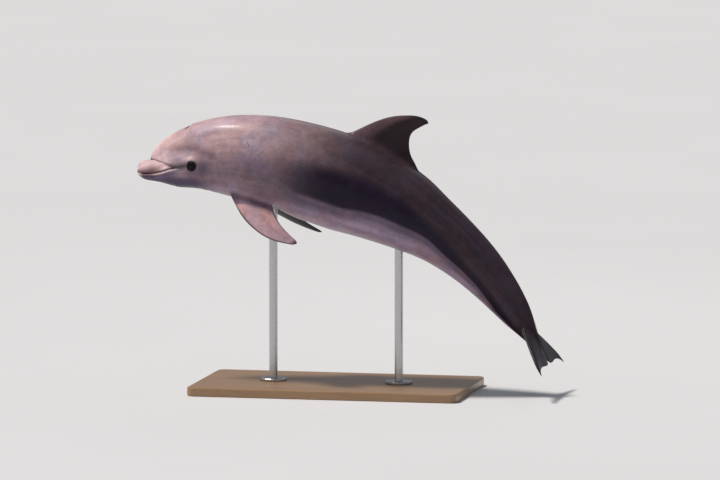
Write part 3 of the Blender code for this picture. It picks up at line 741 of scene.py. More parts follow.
def join_flukes():
    """The pair of flukes is one wing from tip to tip, and the tail stock runs into the front of it."""
    half_rings, half_points, sides = FLUKE_JOIN_HALF_RINGS, FLUKE_JOIN_HALF_POINTS, FLUKE_SIDES
    outlines = FLUKE_LEADING, FLUKE_TRAILING, FLUKE_HALF_THICKNESS
    origin = bent(FLUKE_STATION, 0.0, 0.0)
    front = smooth_path(FLUKE_LEADING)
    fine = np.linspace(0, 1, 400)
    join_out = float(np.interp(FLUKE_JOIN_HALF_WIDTH, front(fine)[:, 1], fine))
    outer = join_out + (1 - join_out) * steps_to_tip(FLUKE_RINGS)[1:-1]
    out = np.concatenate([np.linspace(0, join_out, half_rings + 1), outer])
    wing = {}
    for sign in (1, -1):
        place = fin_frame(origin, aft_at(FLUKE_PITCH), (0, sign, 0))
        surface, _, chord = fin_surface(*outlines, place, sides)
        points = surface(out[:, None])
        if sign < 0:
            points = np.roll(points[:, ::-1], 1, axis=1)
        tip = surface(np.full(sides, 1.0)).mean(0)
        wing[sign] = points, tip
    rings = len(out) - 1
    points = np.concatenate([wing[-1][0][:0:-1], wing[1][0]])
    marks = {"station": FLUKE_COLOUR_STATION, "fluke": 1.0}
    ids = skin.add(points, out=np.abs(np.arange(-rings, rings + 1))[:, None] / rings, chord=chord, **marks)

    def at(ring, point):
        return ring + rings, point % sides

    for ring in range(-rings, rings):
        for point in range(sides):
            turn = (point + sides // 2) % sides - sides // 2
            if -half_rings <= ring < half_rings and -half_points <= turn < half_points:
                continue
            corners = at(ring, point), at(ring, point + 1), at(ring + 1, point + 1), at(ring + 1, point)
            skin.faces.append(tuple(int(ids[corner]) for corner in corners))
    for sign in (1, -1):
        tip = skin.add(wing[sign][1][None], out=1.0, chord=0.5, **marks)
        skin.cap(ids[at(sign * rings, 0)[0]], tip)

    path = rim_path(range(-half_rings, half_rings + 1), range(half_points, -half_points - 1, -1))
    ring, point = np.transpose(path)
    end = points[at(ring, point)]
    outward = points[at(ring + np.where(ring >= 0, 1, -1), point)] - end
    backward = points[at(ring, point + np.where(point >= 0, 1, -1))] - end
    # The tail's skin arrives outward at the hole's two sides, backward at its upper and lower edges, and both
    # ways at its corners.
    edge = np.abs(ring) == half_rings
    out_share = np.where(edge, 1.0, (ring / half_rings) ** 2)[:, None]
    back_share = np.where(edge, np.abs(point / half_points) ** 3, 1.0)[:, None]
    end_way = unit(out_share * unit(outward) + back_share * unit(backward))
    angles = grid_angle[-1]
    start = skin_points(TAIL_JOIN_STATION, angles)
    start_way = unit(start - skin_points(TAIL_JOIN_STATION - 0.001, angles))
    shares = np.linspace(0, 1, TAIL_LOOPS + 1)[1:-1]
    loops = [grid[-1]]
    for share, loop in zip(shares, curve_between(start, start_way, end, end_way, shares)):
        station = TAIL_JOIN_STATION + (FLUKE_COLOUR_STATION - TAIL_JOIN_STATION) * share
        loops.append(add_points(loop, station, angles, fluke=share**2, chord=0.5))
    loops.append(ids[at(ring, point)])
    skin.bridge(loops)


# The eyes and the blowhole.
EYE_HALF_LENGTH = 0.0146
EYE_HALF_HEIGHT = 0.0108
EYE_TILT = -7.0
LID_THICKNESS = 0.0013
SOCKET_GAP = 0.00035
SOCKET_SHARE = 0.965  # the socket's opening, as a share of the lids' own
# The blowhole is an arc round this station, a little wider than the solid's mark.
BLOWHOLE_STATION = 0.1070
BLOWHOLE_RADIUS = 0.028
BLOWHOLE_SWEEP = 92.0
BLOWHOLE_HALF_OPENING = 0.0078


def join_eye(angle):
    """Lids that close round the ball, with a soft fold above and below, and the socket behind it."""
    up = 1 if angle < 90 else -1
    block = Block(EYE_STATION, angle, EYE_BLOCK)
    turn = turns(block.size)
    along = -EYE_HALF_LENGTH * np.cos(turn)
    above = -EYE_HALF_HEIGHT * signed_power(np.sin(turn), 1.2)
    cos, sin = math.cos(math.radians(EYE_TILT) * up), math.sin(math.radians(EYE_TILT) * up)
    along, above = along * cos - above * sin, along * sin + above * cos
    place = eye_frame(angle)
    rotation, origin = arrays_of(place)

    def on_ball(u, v, off):
        """Points over the ball, off it by a distance."""
        height = np.sqrt(np.maximum((EYE_RADIUS + off) ** 2 - u**2 - v**2, 1e-8))
        return np.stack([u, v, height], axis=-1) @ rotation.T + origin

    radius = float(section_radius(EYE_STATION, math.radians(EYE_ANGLE))) * BODY_LENGTH
    station = EYE_STATION + along / BODY_LENGTH
    at_angle = angle + np.degrees(above / radius)
    margin = on_ball(along, above, LID_THICKNESS)
    lid = margin - skin_points(station, at_angle)
    loops = [block.rim]
    upper = np.clip(np.sin(-turn) * up, 0, 1)
    lower = np.clip(np.sin(turn) * up, 0, 1)
    for share in (0.86, 0.73, 0.61, 0.50, 0.41, 0.34, 0.28, 0.23, 0.18, 0.13, 0.08, 0.04, 0.0):
        here = block.between(station, at_angle, share)
        rise = smooth_step(share, 0.62, 0.0)
        # A furrow over each lid, and a low welt nearer the eye.
        fold = -0.0012 * bump(share, 0.30, 0.055) * upper - 0.0009 * bump(share, 0.27, 0.06) * lower
        fold += 0.0007 * bump(share, 0.13, 0.07)
        points = skin_points(*here) + lid * rise + fold[:, None] * rotation[:, 2]
        loops.append(add_points(points, *here))
    # The socket behind the lids is marked inner, which paints it dark as shade.
    inside = {"station": EYE_STATION, "inner": 1.0}
    for shrink, off in ((0.985, 0.0011), (SOCKET_SHARE, 0.0007), (SOCKET_SHARE, SOCKET_GAP)):
        loops.append(skin.add(on_ball(along * shrink, above * shrink, off), **inside))
    reach = np.hypot(along, above)
    ball = EYE_RADIUS + SOCKET_GAP
    polar = np.arcsin(np.clip(reach * SOCKET_SHARE / ball, 0, 1))
    for share in (0.15, 0.35, 0.6, 0.85):
        tilted = polar + (math.pi - polar) * share
        flat = ball * np.sin(tilted)
        local = np.stack([flat * along / reach, flat * above / reach, ball * np.cos(tilted)], axis=-1)
        loops.append(skin.add(local @ rotation.T + origin, **inside))
    skin.bridge(loops)
    back = skin.add((origin - ball * rotation[:, 2])[None], **inside)
    skin.cap(loops[-1], back)
    return place


def join_blowhole():
    """A crescent blowhole on the crown, a little open and hollow side forward, with its rear lip raised and
    its inside painted dark as shade.
    """
    block = Block(BLOWHOLE_STATION, 90, BLOWHOLE_BLOCK)
    turn = turns(block.size)
    radius = float(section_radius(BLOWHOLE_STATION, math.pi / 2)) * BODY_LENGTH

    def crescent(width):
        swing = -math.radians(BLOWHOLE_SWEEP) * np.sin(turn)
        reach = BLOWHOLE_RADIUS - width * signed_power(np.cos(turn), 0.6)
        along, across = reach * np.cos(swing), reach * np.sin(swing)
        return BLOWHOLE_STATION + along / BODY_LENGTH, 90 + np.degrees(across / radius)

    station, angle = crescent(BLOWHOLE_HALF_OPENING)
    back = np.clip(-np.cos(turn), 0, 1)
    loops = [block.rim]
    for share in (0.85, 0.70, 0.56, 0.44, 0.33, 0.24, 0.16, 0.10, 0.05, 0.0):
        # The rear lip stands up, and the front one slopes in.
        lip = 0.0022 * back * bump(share, 0.18, 0.18) - 0.0038 * (1 - back) * bump(share, 0.0, 0.40)
        # The lips going in are painted dark as shade, most at the front.
        dark = (0.85 - 0.3 * back) * smooth_step(share, 0.34 - 0.18 * back, 0.02)
        loops.append(add_body_points(*block.between(station, angle, share), lip, inner=dark))
    for shrink, depth in ((0.92, 0.0015), (0.80, 0.006), (0.55, 0.012), (0.25, 0.016)):
        loops.append(add_body_points(*crescent(BLOWHOLE_HALF_OPENING * shrink), -depth, inner=1.0))
    skin.bridge(loops)
    last, half = loops[-1].tolist(), block.size // 2
    for j in range(-half // 2, half // 2):
        corners = [last[j], last[j + 1], last[half - j - 1], last[(half - j) % block.size]]
        skin.faces.append(tuple(dict.fromkeys(corners)))


join_dorsal_fin()
join_flippers()
join_flukes()
eye_places = {"left": join_eye(EYE_ANGLE), "right": join_eye(180 - EYE_ANGLE)}
join_blowhole()

for row, column in zip(*np.nonzero(~removed)):
    beside = (column + 1) % SIDES
    corners = grid[row, column], grid[row, beside], grid[row + 1, beside], grid[row + 1, column]
    skin.faces.append(tuple(int(corner) for corner in corners))


def skin_mesh():
    """The mesh of all that the skin has collected, without the points that no face uses."""
    points = np.concatenate(skin.points)
    marks = np.concatenate(skin.marks)
    # The first ring is the tip of the beak, where all of its points meet.
    tip = set(grid[0].tolist())
    faces = []
    for face in skin.faces:
        corners = list(dict.fromkeys(int(grid[0, 0]) if corner in tip else corner for corner in face))
        if len(corners) > 2:
            faces.append(corners)
    used = np.unique([corner for face in faces for corner in face])
    renamed = np.full(len(points), -1)
    renamed[used] = np.arange(len(used))
    mesh = bpy.data.meshes.new("dolphin_skin")
    mesh.from_pydata(points[used].tolist(), [], [[int(renamed[corner]) for corner in face] for face in faces])
    mesh.validate()
    shape = bmesh.new()
    shape.from_mesh(mesh)
    bmesh.ops.recalc_face_normals(shape, faces=shape.faces)
    shape.to_mesh(mesh)
    shape.free()
    mesh.shade_smooth()
    return mesh, marks[used]


def show(name, data):
    """A new object of the scene."""
    made = bpy.data.objects.new(name, data)
    bpy.context.scene.collection.objects.link(made)
    return made


mesh, marks = skin_mesh()
body = show("dolphin_skin", mesh)
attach(body, "root")
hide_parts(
    "upper_jaw", "lower_jaw", "head", "trunk", "tail_stock", "dorsal_fin",
    "flipper_left", "flipper_right", "fluke_left", "fluke_right",
)


# Where each colour of the skin lies, as shares from 0 to 1. The flank's edges are (station, angle) points.
FLANK_TOP = (
    (0.25, 12), (0.40, 16), (0.50, 21), (0.56, 21), (0.62, 12), (0.70, -2), (0.76, -20), (0.85, -34),
)
FLANK_FOOT = (
    (0.25, -9), (0.31, -12), (0.36, -23), (0.45, -24), (0.50, -17), (0.55, -12), (0.64, -11), (0.70, -27),
    (0.76, -40), (0.86, -62),
)


def body_shares(station, up, on_body):
    """The shares of the trunk and tail, where up is the angle above the body's widest level."""
    top, foot = smooth_curve(FLANK_TOP)(station), smooth_curve(FLANK_FOOT)(station)
    rear_belly = smooth_step(up, foot - 8, foot - 26) * smooth_step(station, 0.30, 0.38)
    front_belly = 0.75 * smooth_step(up, -26, -55) * smooth_step(station, 0.13, 0.23)
    front_belly = front_belly * smooth_step(station, 0.42, 0.34)
    # The dark band along the flank: partly the skin's own darker band, partly painted shade on the side.
    flank_band_and_painted_shade = smooth_step(up, top + 14, top - 6) * smooth_step(up, foot - 3, foot + 3)
    return {
        "rear": smooth_step(station, 0.17, 0.48),
        "low_side": smooth_step(up, 34, -4) * on_body,
        "lower": smooth_step(up, foot + 2, foot - 3) * smooth_step(station, 0.32, 0.40) * on_body,
        "belly": np.maximum(rear_belly, front_belly) * on_body,
        "flank_band_and_painted_shade": flank_band_and_painted_shade * smooth_step(station, 0.27, 0.43) * on_body,
        "ridges": smooth_step(station, 0.14, 0.22) * smooth_step(station, 0.72, 0.55) * on_body,
    }


def head_shares(station, up, inner):
    """The shares of the head and beak, and the distance from the crease between them."""
    aft = (station - EYE_STATION) * BODY_LENGTH
    rise = np.radians(up) * section_radius(station, np.radians(up)) * BODY_LENGTH
    crease, crease_along = line_distance(station, up, CREASE_LINE)
    fold, fold_along = line_distance(station, up, GAPE_FOLD_LINE)
    bridle, bridle_along = line_distance(station, up, BRIDLE_LINE)
    melon = smooth_step(station, 0.135, 0.060) * smooth_step(up, 4, 26)
    cheek = bump(aft, 0.050, 0.034) * bump(rise, -0.018, 0.034)
    bridle = bump(bridle, 0, 0.019) * smooth_step(bridle_along, 1.0, 0.3)
    # The beak: pale on top, brown down to the lip and darkest just above it as painted shade along the upper
    # lip, with a pale strip ahead of the mouth's corner.
    above_lip = smooth_step(up, np.interp(station, (0.0, 0.035, 0.050, 0.070), (50, 50, 34, 8)), 8)
    brown = 0.9 * smooth_step(station, 0.078, 0.060) * smooth_step(up, -1, 3) * above_lip
    lip = bump(rise, -0.0058, 0.0038) * smooth_step(station, 0.022, 0.05) * smooth_step(station, 0.099, 0.087)
    corner = smooth_step(-crease, 0.001, 0.006) * bump(station, 0.064, 0.016) * bump(rise, 0.012, 0.009)
    tip = 0.9 * smooth_step(station, 0.012, 0.003) * bump(up, -12, 17)
    # The brow is pale, with a painted highlight on its upper side.
    brow = bump(aft, -0.003, 0.023) * bump(rise, brow_rise(aft) + 0.0005, 0.0085)
    jowl = 0.35 * bump(station, 0.098, 0.014) * bump(up, -16, 14)
    eye = smooth_step(np.hypot(aft / 1.05, rise - 0.001), 0.0275, 0.0155)
    wedge = np.interp(crease_along, (0.60, 0.78, 1.0), (0.0030, 0.0075, 0.0150))
    streak = bump(crease, 0, wedge) * smooth_step(crease_along, 0.55, 0.75)
    # Painted shade under the lower lip and in the fold that drops from the mouth's corner.
    under_lip = bump(rise, -0.013, 0.006) * smooth_step(station, 0.055, 0.030)
    fold = bump(fold, 0, 0.0034) * np.interp(fold_along, (0, 0.3, 1), (0.8, 0.5, 0.0))
    line = np.interp(crease_along, (0.0, 0.12, 0.35, 0.5, 0.8), (1.0, 0.85, 0.60, 0.75, 0.0))
    mouth = smooth_step(station, GAPE_STATION + 0.004, GAPE_STATION - 0.004)
    return {
        "melon": np.maximum(melon, bump(aft, -0.030, 0.040) * bump(rise, 0.042, 0.020)),
        "jaw": smooth_step(station, 0.15, 0.105) * smooth_step(up, -2, -12),
        # Painted shade under the jaw.
        "throat": smooth_step(up, -22, -42) * smooth_step(station, 0.19, 0.12),
        "shade": greatest(0.75 * cheek, 0.55 * bridle),
        "brown": brown * smooth_step(station, 0.066, 0.046),
        "pale": greatest(0.9 * lip, corner, tip, 0.95 * brow, jowl),
        # The eye's dark patch and the streak ahead of it, with painted shade under the lip, in the gape's
        # fold and in the hollows marked inner.
        "dark": greatest(eye, 0.60 * streak, 0.45 * under_lip, 0.7 * fold, inner),
        # Painted shade along the mouth's groove and in the crease between the beak and the melon.
        "mouth": mouth * bump(rise, 0.0002, 0.0021),
        # Beyond the crease's ends its distance jumps between points, so it is masked well before that.
        "crease": line * smooth_step(np.abs(crease), 0.018, 0.011),
        "crease_mm": crease * 1000 / np.interp(crease_along, (0.0, 0.10, 0.30), (2.3, 1.4, 1.0)),
    }


def wrinkle_shares(station, up):
    """How strong the closest wrinkle is at each point, and the distance from it."""
    lines = [line_distance(station, up, line) for line in WRINKLE_LINES]
    nearest = np.argmin([np.abs(distance) for distance, _ in lines], axis=0)
    near = 0
    for distance, along in lines:
        near = near + bump(distance, 0, 0.014) * smooth_step(along, 0, 0.1) * smooth_step(along, 1.0, 0.8)
    return {"wrinkle": near, "wrinkle_mm": np.choose(nearest, [1000 * distance for distance, _ in lines])}


def fin_shares(dorsal, flipper, fluke, out, chord, under):
    """The shares of the fins, from how far out on one and how far back along its chord each point is."""
    leading = smooth_step(chord, 0.34, 0.04) * smooth_step(out, 0.90, 0.60)
    dorsal_dark = smooth_step(out + 0.55 * np.minimum(chord, 0.6), 0.06, 0.42) * (1 - 0.75 * leading)
    dorsal_brown = np.maximum(leading, 0.8 * smooth_step(chord, 0.62, 0.20) * smooth_step(out, 0.40, 0.05))
    blade = out - np.interp(chord, (0.0, 0.45, 1.0), (0.262, 0.300, 0.318))
    blade = smooth_step(blade, -0.004, 0.010)
    # Painted shade at the flipper's root: toward its leading edge, and in a band just short of the blade.
    root_painted_shade = np.maximum(0.6 * smooth_step(chord, 0.34, 0.08), 0.5 * bump(out, 0.24, 0.05))
    rim = np.maximum(smooth_step(chord, 0.94, 0.985), smooth_step(chord, 0.060, 0.012))
    edge = np.maximum(rim * smooth_step(out, 0.2, 0.4), smooth_step(out, 0.90, 0.99))
    # The flippers' dark rims and tips, with painted shade over the half of each flipper that faces the body.
    edge = np.clip(flipper * np.maximum(0.85 * edge, under), 0, 1)
    warm = flipper * smooth_step(chord, 0.30, 0.08) * 0.7
    return {
        "fin": np.clip(dorsal * dorsal_dark + fluke, 0, 1),
        "brown_fin": dorsal * dorsal_brown,
        "tan": flipper * blade * (1 - 0.62 * smooth_step(out, 0.62, 0.88)),
        "warm": warm + flipper * smooth_step(out, 0.80, 0.92) * 0.5,
        "root": flipper * smooth_step(out, 0.03, 0.14),
        "root_painted_shade": flipper * (1 - blade) * root_painted_shade,
        "edge": np.where(fluke + dorsal > 0.5, 0, edge),
    }


def colour_shares(marks):
    """All that the skin's material reads of its points, by name."""
    station, side, dorsal, flipper, fluke, out, chord, under, inner = marks.T
    on_body = 1 - np.clip(dorsal + flipper + fluke, 0, 1)
    return {
        "station": station,
        "side": side,
        **body_shares(station, side * 90, on_body),
        **head_shares(station, side * 90, inner),
        **wrinkle_shares(station, side * 90),
        **fin_shares(dorsal, flipper, fluke, out, chord, under),
    }


for name, share in colour_shares(marks).items():
    attribute = mesh.attributes.new(name, "FLOAT", "POINT")
    attribute.data.foreach_set("value", share.astype(np.float32))


class Nodes:
    """Builds a material's nodes, linking each value to its input."""

    def __init__(self, name):
        self.material = bpy.data.materials.new(name)
        self.material.use_nodes = True
        self.tree = self.material.node_tree
        self.shader = self.tree.nodes["Principled BSDF"]

    def add(self, kind, settings=None, **inputs):
        node = self.tree.nodes.new(f"ShaderNode{kind}")
        for name, value in (settings or {}).items():
            setattr(node, name, value)
        for name, value in inputs.items():
            self.link(value, node.inputs[name.replace("_", " ")])
        return node

    def link(self, value, socket):
        if isinstance(value, bpy.types.NodeSocket):
            self.tree.links.new(value, socket)
        else:
            socket.default_value = (*value, 1.0) if socket.type == "RGBA" else value

    def attribute(self, name):
        return self.add("Attribute", {"attribute_name": name}).outputs["Fac"]

    def math(self, operation, first, second=0.0, third=0.0):
        node = self.add("Math", {"operation": operation})
        for socket, value in zip(node.inputs, (first, second, third)):
            self.link(value, socket)
        return node.outputs[0]

    def times(self, first, second):
        return self.math("MULTIPLY", first, second)

    def around_zero(self, noise, width):
        """A noise moved from about a half to about zero, and scaled."""
        return self.times(self.math("SUBTRACT", noise, 0.5), width)

    def ragged(self, share, shift):
        """A share whose soft edge is shifted in and out."""
        softness = self.times(share, self.math("SUBTRACT", 1.0, share))
        return self.math("ADD", share, self.times(shift, softness))

    def mix(self, share, first, second, blend="MIX"):
        node = self.add("Mix", {"data_type": "RGBA", "blend_type": blend})
        for value, socket in ((share, 0), (first, 6), (second, 7)):
            self.link(value, node.inputs[socket])
        return node.outputs[2]

    def ramp(self, value, low, high, start=0.0, end=1.0):
        inputs = {"Value": value, "From Min": low, "From Max": high, "To Min": start, "To Max": end}
        node = self.add("MapRange", {"interpolation_type": "SMOOTHSTEP"}, **inputs)
        return node.outputs["Result"]

    def noise(self, vector, scale, detail=3.0, roughness=0.55, distortion=0.0):
        inputs = {"Scale": scale, "Detail": detail, "Roughness": roughness, "Distortion": distortion}
        return self.add("TexNoise", Vector=vector, **inputs).outputs["Fac"]

    def place(self, vector, scale):
        return self.add("Mapping", Vector=vector, Scale=scale).outputs["Vector"]

    def coordinates(self):
        return self.add("TexCoord").outputs["Object"]

    def bump(self, height, strength, distance, normal=None):
        node = self.add("Bump", Height=height, Strength=strength, Distance=distance)
        if normal:
            self.link(normal, node.inputs["Normal"])
        return node.outputs["Normal"]

    def finish(self, **inputs):
        """Sets the shader's own inputs, and gives the material."""
        for name, value in inputs.items():
            self.link(value, self.shader.inputs[name.replace("_", " ")])
        return self.material


BACK = (0.515, 0.360, 0.392)
# Painted shade, laid under the jaw and at the flippers' roots.
THROAT_AND_ROOT_SHADE = (0.082, 0.057, 0.100)
SHADE = (0.10, 0.067, 0.092)
TAN = (0.47, 0.295, 0.315)
WARM = (0.50, 0.255, 0.175)
DARK = (0.006, 0.004, 0.006)
# Painted shade, in the crease and along the mouth's groove.
GROOVE_SHADE_RED = (0.024, 0.008, 0.009)
# What is laid over the back's colour, in order: the share, how ragged its edge is, and the colour.
# Some of these layers are painted light: painted shade under the jaw and at the flippers' roots, partly
# painted shade in the flank band and in the brown above the lip, and a painted highlight on the brow within
# the pale layer.
LAYERS = (
    ("low_side", 2.0, (0.275, 0.192, 0.236)),
    ("rear", 2.0, (0.053, 0.035, 0.046)),
    ("melon", 1.0, (0.73, 0.520, 0.540)),
    ("jaw", 1.0, (0.168, 0.118, 0.190)),
    ("throat", 1.0, THROAT_AND_ROOT_SHADE),
    ("shade", 1.0, SHADE),
    ("lower", 1.0, (0.147, 0.106, 0.152)),
    ("belly", 1.5, (0.335, 0.246, 0.322)),
    ("flank_band_and_painted_shade", 1.5, (0.017, 0.0105, 0.024)),
    ("brown", 1.0, (0.115, 0.063, 0.070)),
    ("pale", 1.0, (0.90, 0.66, 0.66)),
    ("fin", 0.0, (0.030, 0.019, 0.023)),
    ("brown_fin", 1.0, (0.150, 0.088, 0.095)),
    ("root", 0.0, (0.30, 0.208, 0.262)),
    ("root_painted_shade", 0.0, THROAT_AND_ROOT_SHADE),
)
RIDGE_PITCH = 0.006
SIDE_LENGTH = 0.30  # about the way round the trunk from its widest level to the back or belly


def skin_material():
    n = Nodes("wet skin")
    place = n.coordinates()
    share = n.attribute
    along = n.times(share("station"), BODY_LENGTH)
    around = n.times(share("side"), SIDE_LENGTH)
    flow = n.add("CombineXYZ", X=along, Y=around, Z=0.0).outputs[0]
    streaks = n.noise(n.place(flow, (2.4, 28.0, 1.0)), 1.0, 4.0, 0.6, 0.4)
    fine_streaks = n.noise(n.place(flow, (7.0, 120.0, 1.0)), 1.0, 3.0, 0.6, 0.6)
    clouds = n.noise(place, 8.0, 3.0, 0.5, 0.3)
    blotches = n.noise(place, 27.0, 4.0, 0.6, 0.5)
    grains = n.noise(place, 110.0, 2.0, 0.6)
    colour = BACK
    for name, ragged, layer in LAYERS:
        here = n.ragged(share(name), n.around_zero(streaks, ragged)) if ragged else share(name)
        colour = n.mix(here, colour, layer)
    rust = n.times(n.ramp(n.noise(place, 30.0, 4.0, 0.6), 0.42, 0.66), share("warm"))
    colour = n.mix(share("tan"), colour, n.mix(rust, TAN, WARM))
    # The whole skin varies a little in its tone and hue.
    noises = (streaks, 0.30), (fine_streaks, 0.06), (clouds, 0.26), (blotches, 0.27), (grains, 0.11)
    tone = 0.0
    for layer, weight in noises:
        tone = n.math("MULTIPLY_ADD", layer, weight, tone)
    light = n.ramp(tone, 0.38, 0.62, 0.74, 1.26)
    light = n.add("CombineXYZ", X=light, Y=light, Z=light).outputs[0]
    hue = n.ramp(n.noise(place, 12.0, 3.0, 0.6, 0.4), 0.36, 0.64)
    tint = n.mix(hue, (1.05, 0.985, 0.93), (0.955, 1.0, 1.075))
    colour = n.mix(1.0, colour, n.mix(1.0, tint, light, "MULTIPLY"), "MULTIPLY")
    # The dark lines and patches: the fins' dark rims, with painted shade on the flippers' undersides; painted
    # shade in the crease and the mouth's groove; the wrinkles; and the eye's dark patch, with painted shade
    # under the lip, in the gape's fold and in the hollows.
    colour = n.mix(share("edge"), colour, DARK)
    line = n.ramp(n.math("ABSOLUTE", share("crease_mm")), 0.8, 4.5, 1.0, 0.0)
    colour = n.mix(n.times(line, share("crease")), colour, GROOVE_SHADE_RED)
    colour = n.mix(share("mouth"), colour, GROOVE_SHADE_RED)
    wander = n.around_zero(n.noise(place, 70.0, 3.0, 0.6), 9.0)
    wrinkle = n.math("ABSOLUTE", n.math("ADD", share("wrinkle_mm"), wander))
    colour = n.mix(n.times(n.ramp(wrinkle, 0.3, 2.0, 0.62, 0.0), share("wrinkle")), colour, SHADE)
    speckles = n.around_zero(n.noise(place, 150.0, 2.0, 0.7), 1.6)
    colour = n.mix(n.ramp(n.ragged(share("dark"), speckles), 0.0, 1.0), colour, DARK)
    rough = n.ramp(n.math("MULTIPLY_ADD", streaks, 0.5, n.times(blotches, 0.5)), 0.38, 0.62, 0.30, 0.46)
    # Fine ridges run round the body, and the whole skin is very slightly dimpled.
    ridges = n.math("MULTIPLY_ADD", blotches, 3.0, n.times(along, 2 * math.pi / RIDGE_PITCH))
    normal = n.bump(n.noise(place, 240.0, 3.0, 0.6), 0.08, 0.001)
    normal = n.bump(n.times(n.math("SINE", ridges), share("ridges")), 0.07, 0.0006, normal)
    gloss = {"IOR": 1.21, "Coat_Weight": 0.12, "Coat_Roughness": 0.14, "Coat_IOR": 1.33}
    return n.finish(Base_Color=colour, Roughness=rough, Normal=normal, **gloss)


mesh.materials.append(skin_material())


# The eyeballs.
CORNEA_RISE = 0.0005
BALL_INSET = 0.0002


def add_eyeball(side, place):
    """A ball with its axis straight out, whose rings lie close together over the iris."""
    around, rings = 48, 32
    turn = turns(around)
    tilt = math.pi * np.linspace(0, 1, rings + 1)[1:-1] ** 1.4
    # The cornea stands out a little.
    radius = EYE_RADIUS - BALL_INSET + CORNEA_RISE * smooth_step(np.degrees(tilt), 34, 20)
    flat, height = radius * np.sin(tilt), radius * np.cos(tilt)
    points = [(0, 0, EYE_RADIUS - BALL_INSET + CORNEA_RISE)]
    points += [(f * math.cos(t), f * math.sin(t), h) for f, h in zip(flat, height) for t in turn]
    points.append((0, 0, -EYE_RADIUS))
    faces = []
    for i in range(around):
        j = (i + 1) % around
        faces.append((0, 1 + i, 1 + j))
        for ring in range(rings - 2):
            base = 1 + ring * around
            faces.append((base + i, base + around + i, base + around + j, base + j))
        base = 1 + (rings - 2) * around
        faces.append((base + j, base + i, len(points) - 1))
    ball = bpy.data.meshes.new(f"eyeball_{side}")
    ball.from_pydata(points, [], faces)
    ball.shade_smooth()
    eye = show(f"eyeball_{side}", ball)
    eye.matrix_world = place
    ball.materials.append(eye_material)
    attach(eye, "root")
    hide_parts(f"eye_{side}")


# Where the pupil, the iris and the dark rim round it end, as distances from the eye's axis.
PUPIL_EDGE = (0.0046, 0.0056)
IRIS_EDGE = (0.0088, 0.0100)
RIM_EDGE = (0.0122, 0.0140)
PUPIL_HEIGHT = 0.82  # as a share of its length


def make_eye_material():
    """A dark eye: a wide black pupil in a near-black brown iris, and a dark rim."""
    n = Nodes("wet eye")
    split = n.add("SeparateXYZ", Vector=n.coordinates())
    long = n.times(split.outputs["X"], PUPIL_HEIGHT)
    squares = [n.math("POWER", length, 2.0) for length in (long, split.outputs["Y"])]
    reach = n.math("SQRT", n.math("ADD", *squares))
    fibres = n.noise(n.coordinates(), 900.0, 3.0, 0.6)
    edge = n.math("ADD", reach, n.around_zero(fibres, 0.0008))
    iris = n.mix(fibres, (0.007, 0.004, 0.003), (0.022, 0.013, 0.009))
    colour = (0.0015, 0.0015, 0.002)
    beyond = (PUPIL_EDGE, iris), (IRIS_EDGE, (0.006, 0.004, 0.005)), (RIM_EDGE, (0.030, 0.018, 0.018))
    for edges, zone in beyond:
        colour = n.mix(n.ramp(edge, *edges), colour, zone)
    return n.finish(Base_Color=colour, Roughness=0.06, IOR=1.24)


eye_material = make_eye_material()
for side, place in eye_places.items():
    add_eyeball(side, place)


# The stand.
def make_wood():
    n = Nodes("oak, satin varnish")
    place = n.coordinates()
    long = n.place(place, (1.2, 14.0, 14.0))
    figure = n.noise(long, 1.6, 5.0, 0.6, 0.8)
    bands = {"wave_type": "BANDS", "bands_direction": "Y"}
    waves = {"Scale": 0.9, "Distortion": 6.0, "Detail": 3.0, "Detail_Scale": 1.2}
    rings = n.add("TexWave", bands, Vector=long, **waves).outputs["Fac"]
    pores = n.noise(n.place(place, (30.0, 900.0, 900.0)), 1.0, 2.0, 0.5)
    colour = n.mix(figure, (0.300, 0.165, 0.080), (0.460, 0.285, 0.150))
    colour = n.mix(n.times(rings, 0.35), colour, (0.240, 0.125, 0.060))
    pore = n.ramp(pores, 0.60, 0.72)
    colour = n.mix(n.times(pore, 0.5), colour, (0.110, 0.055, 0.028))
    rough = n.ramp(figure, 0.3, 0.7, 0.30, 0.42)
    normal = n.bump(n.times(pore, -1.0), 0.25, 0.0004)
    return n.finish(Base_Color=colour, Roughness=rough, Normal=normal, Coat_Weight=0.25, Coat_Roughness=0.22)


def make_steel():
    """Steel brushed round its upright."""
    n = Nodes("brushed steel")
    lines = n.noise(n.place(n.coordinates(), (40.0, 40.0, 900.0)), 1.0, 3.0, 0.7)
    colour = n.mix(lines, (0.50, 0.505, 0.51), (0.66, 0.665, 0.67))
    rough = n.ramp(lines, 0.3, 0.7, 0.24, 0.36)
    return n.finish(Base_Color=colour, Roughness=rough, Metallic=1.0, Normal=n.bump(lines, 0.06, 0.0003))


wood = make_wood()
steel = make_steel()
for name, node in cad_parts.items():
    if name.startswith("stand_"):
        node.data.materials.clear()
        node.data.materials.append(wood if name == "stand_base" else steel)


def hide_replaced():
    """Hides the animal's solids, which the skin and the eyeballs stand for."""
    for name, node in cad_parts.items():
        if not name.startswith("stand_"):
            node.hide_render = True


# The floor, the light and the camera.
def make_floor():
    n = Nodes("pale floor")
    colour = n.mix(n.noise(n.coordinates(), 0.8, 4.0, 0.6), (0.72, 0.72, 0.725), (0.76, 0.76, 0.765))
    n.finish(Base_Color=colour, Roughness=0.8, Specular_IOR_Level=0.2)
    bpy.ops.mesh.primitive_circle_add(vertices=96, radius=90.0, fill_type="NGON")
    floor = bpy.context.object
    floor.name = "floor"
    floor.data.materials.append(n.material)


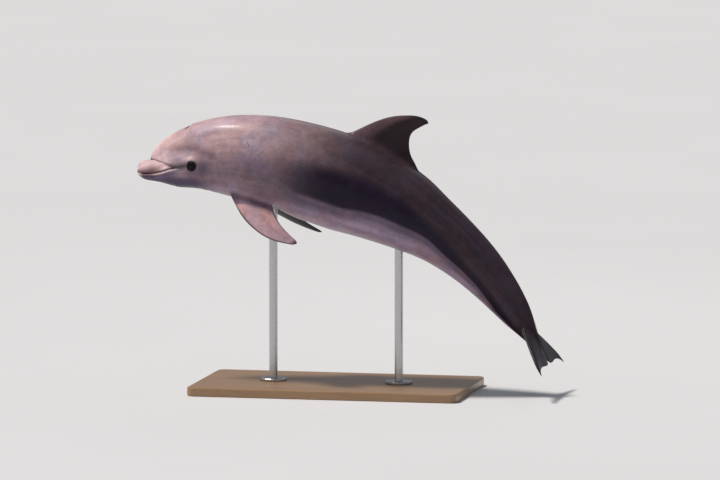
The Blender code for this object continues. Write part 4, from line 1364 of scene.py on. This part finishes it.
def place_facing(name, data, place, ahead):
    """Adds a light or the camera at a place, facing the way ahead."""
    made = show(name, data)
    made.location = place
    made.rotation_euler = Vector(ahead).to_track_quat("-Z", "Y").to_euler()
    return made


def add_soft_light(name, place, target, size, power, colour):
    light = bpy.data.lights.new(name, "AREA")
    light.shape = "RECTANGLE"
    light.size, light.size_y = size
    light.energy = power
    light.color = colour
    place_facing(name, light, place, Vector(target) - Vector(place))


CAMERA_AZIMUTH = math.radians(12.0)  # from the animal's left side toward its tail
CAMERA_ELEVATION = math.radians(6.5)
CAMERA_DISTANCE = 40.0
CAMERA_LENS = 500.0
TARGET_FROM_SNOUT = (0.908, 0.0, -0.260)


def add_camera():
    """A long lens far off, a little above the animal."""
    level = math.cos(CAMERA_ELEVATION)
    across, ahead = math.sin(CAMERA_AZIMUTH) * level, -math.cos(CAMERA_AZIMUTH) * level
    back = Vector((across, ahead, math.sin(CAMERA_ELEVATION)))
    target = Vector(bent(0.0, 0.0, 0.0)) + Vector(TARGET_FROM_SNOUT)
    camera = place_facing("camera", bpy.data.cameras.new("camera"), target + back * CAMERA_DISTANCE, -back)
    camera.data.lens = CAMERA_LENS
    camera.data.sensor_width = 36.0
    camera.data.clip_end = 300.0
    bpy.context.scene.camera = camera


def light_scene():
    """A wide sun from above and a little ahead, with a weak fill, a rim light and a dim sky."""
    bpy.context.scene.view_settings.view_transform = "Standard"
    world = bpy.data.worlds.new("studio")
    bpy.context.scene.world = world
    world.use_nodes = True
    background = world.node_tree.nodes["Background"]
    background.inputs["Color"].default_value = (0.84, 0.90, 1.0, 1.0)
    background.inputs["Strength"].default_value = 0.24
    key = bpy.data.lights.new("key", "SUN")
    key.energy = 2.8
    key.angle = math.radians(9)
    key.color = (1.0, 0.955, 0.91)
    place_facing("key", key, (0, 0, 0), (0.42, 0.06, -0.90))
    add_soft_light("fill", (-1.9, -3.4, 2.3), (-0.3, 0.0, 0.85), (0.7, 0.7), 5.0, (1.0, 0.97, 1.0))
    add_soft_light("rim", (0.8, 3.0, 3.0), (0.0, 0.0, 0.8), (3.0, 1.2), 8.0, (1.0, 0.97, 0.95))


hide_replaced()
make_floor()
light_scene()
add_camera()
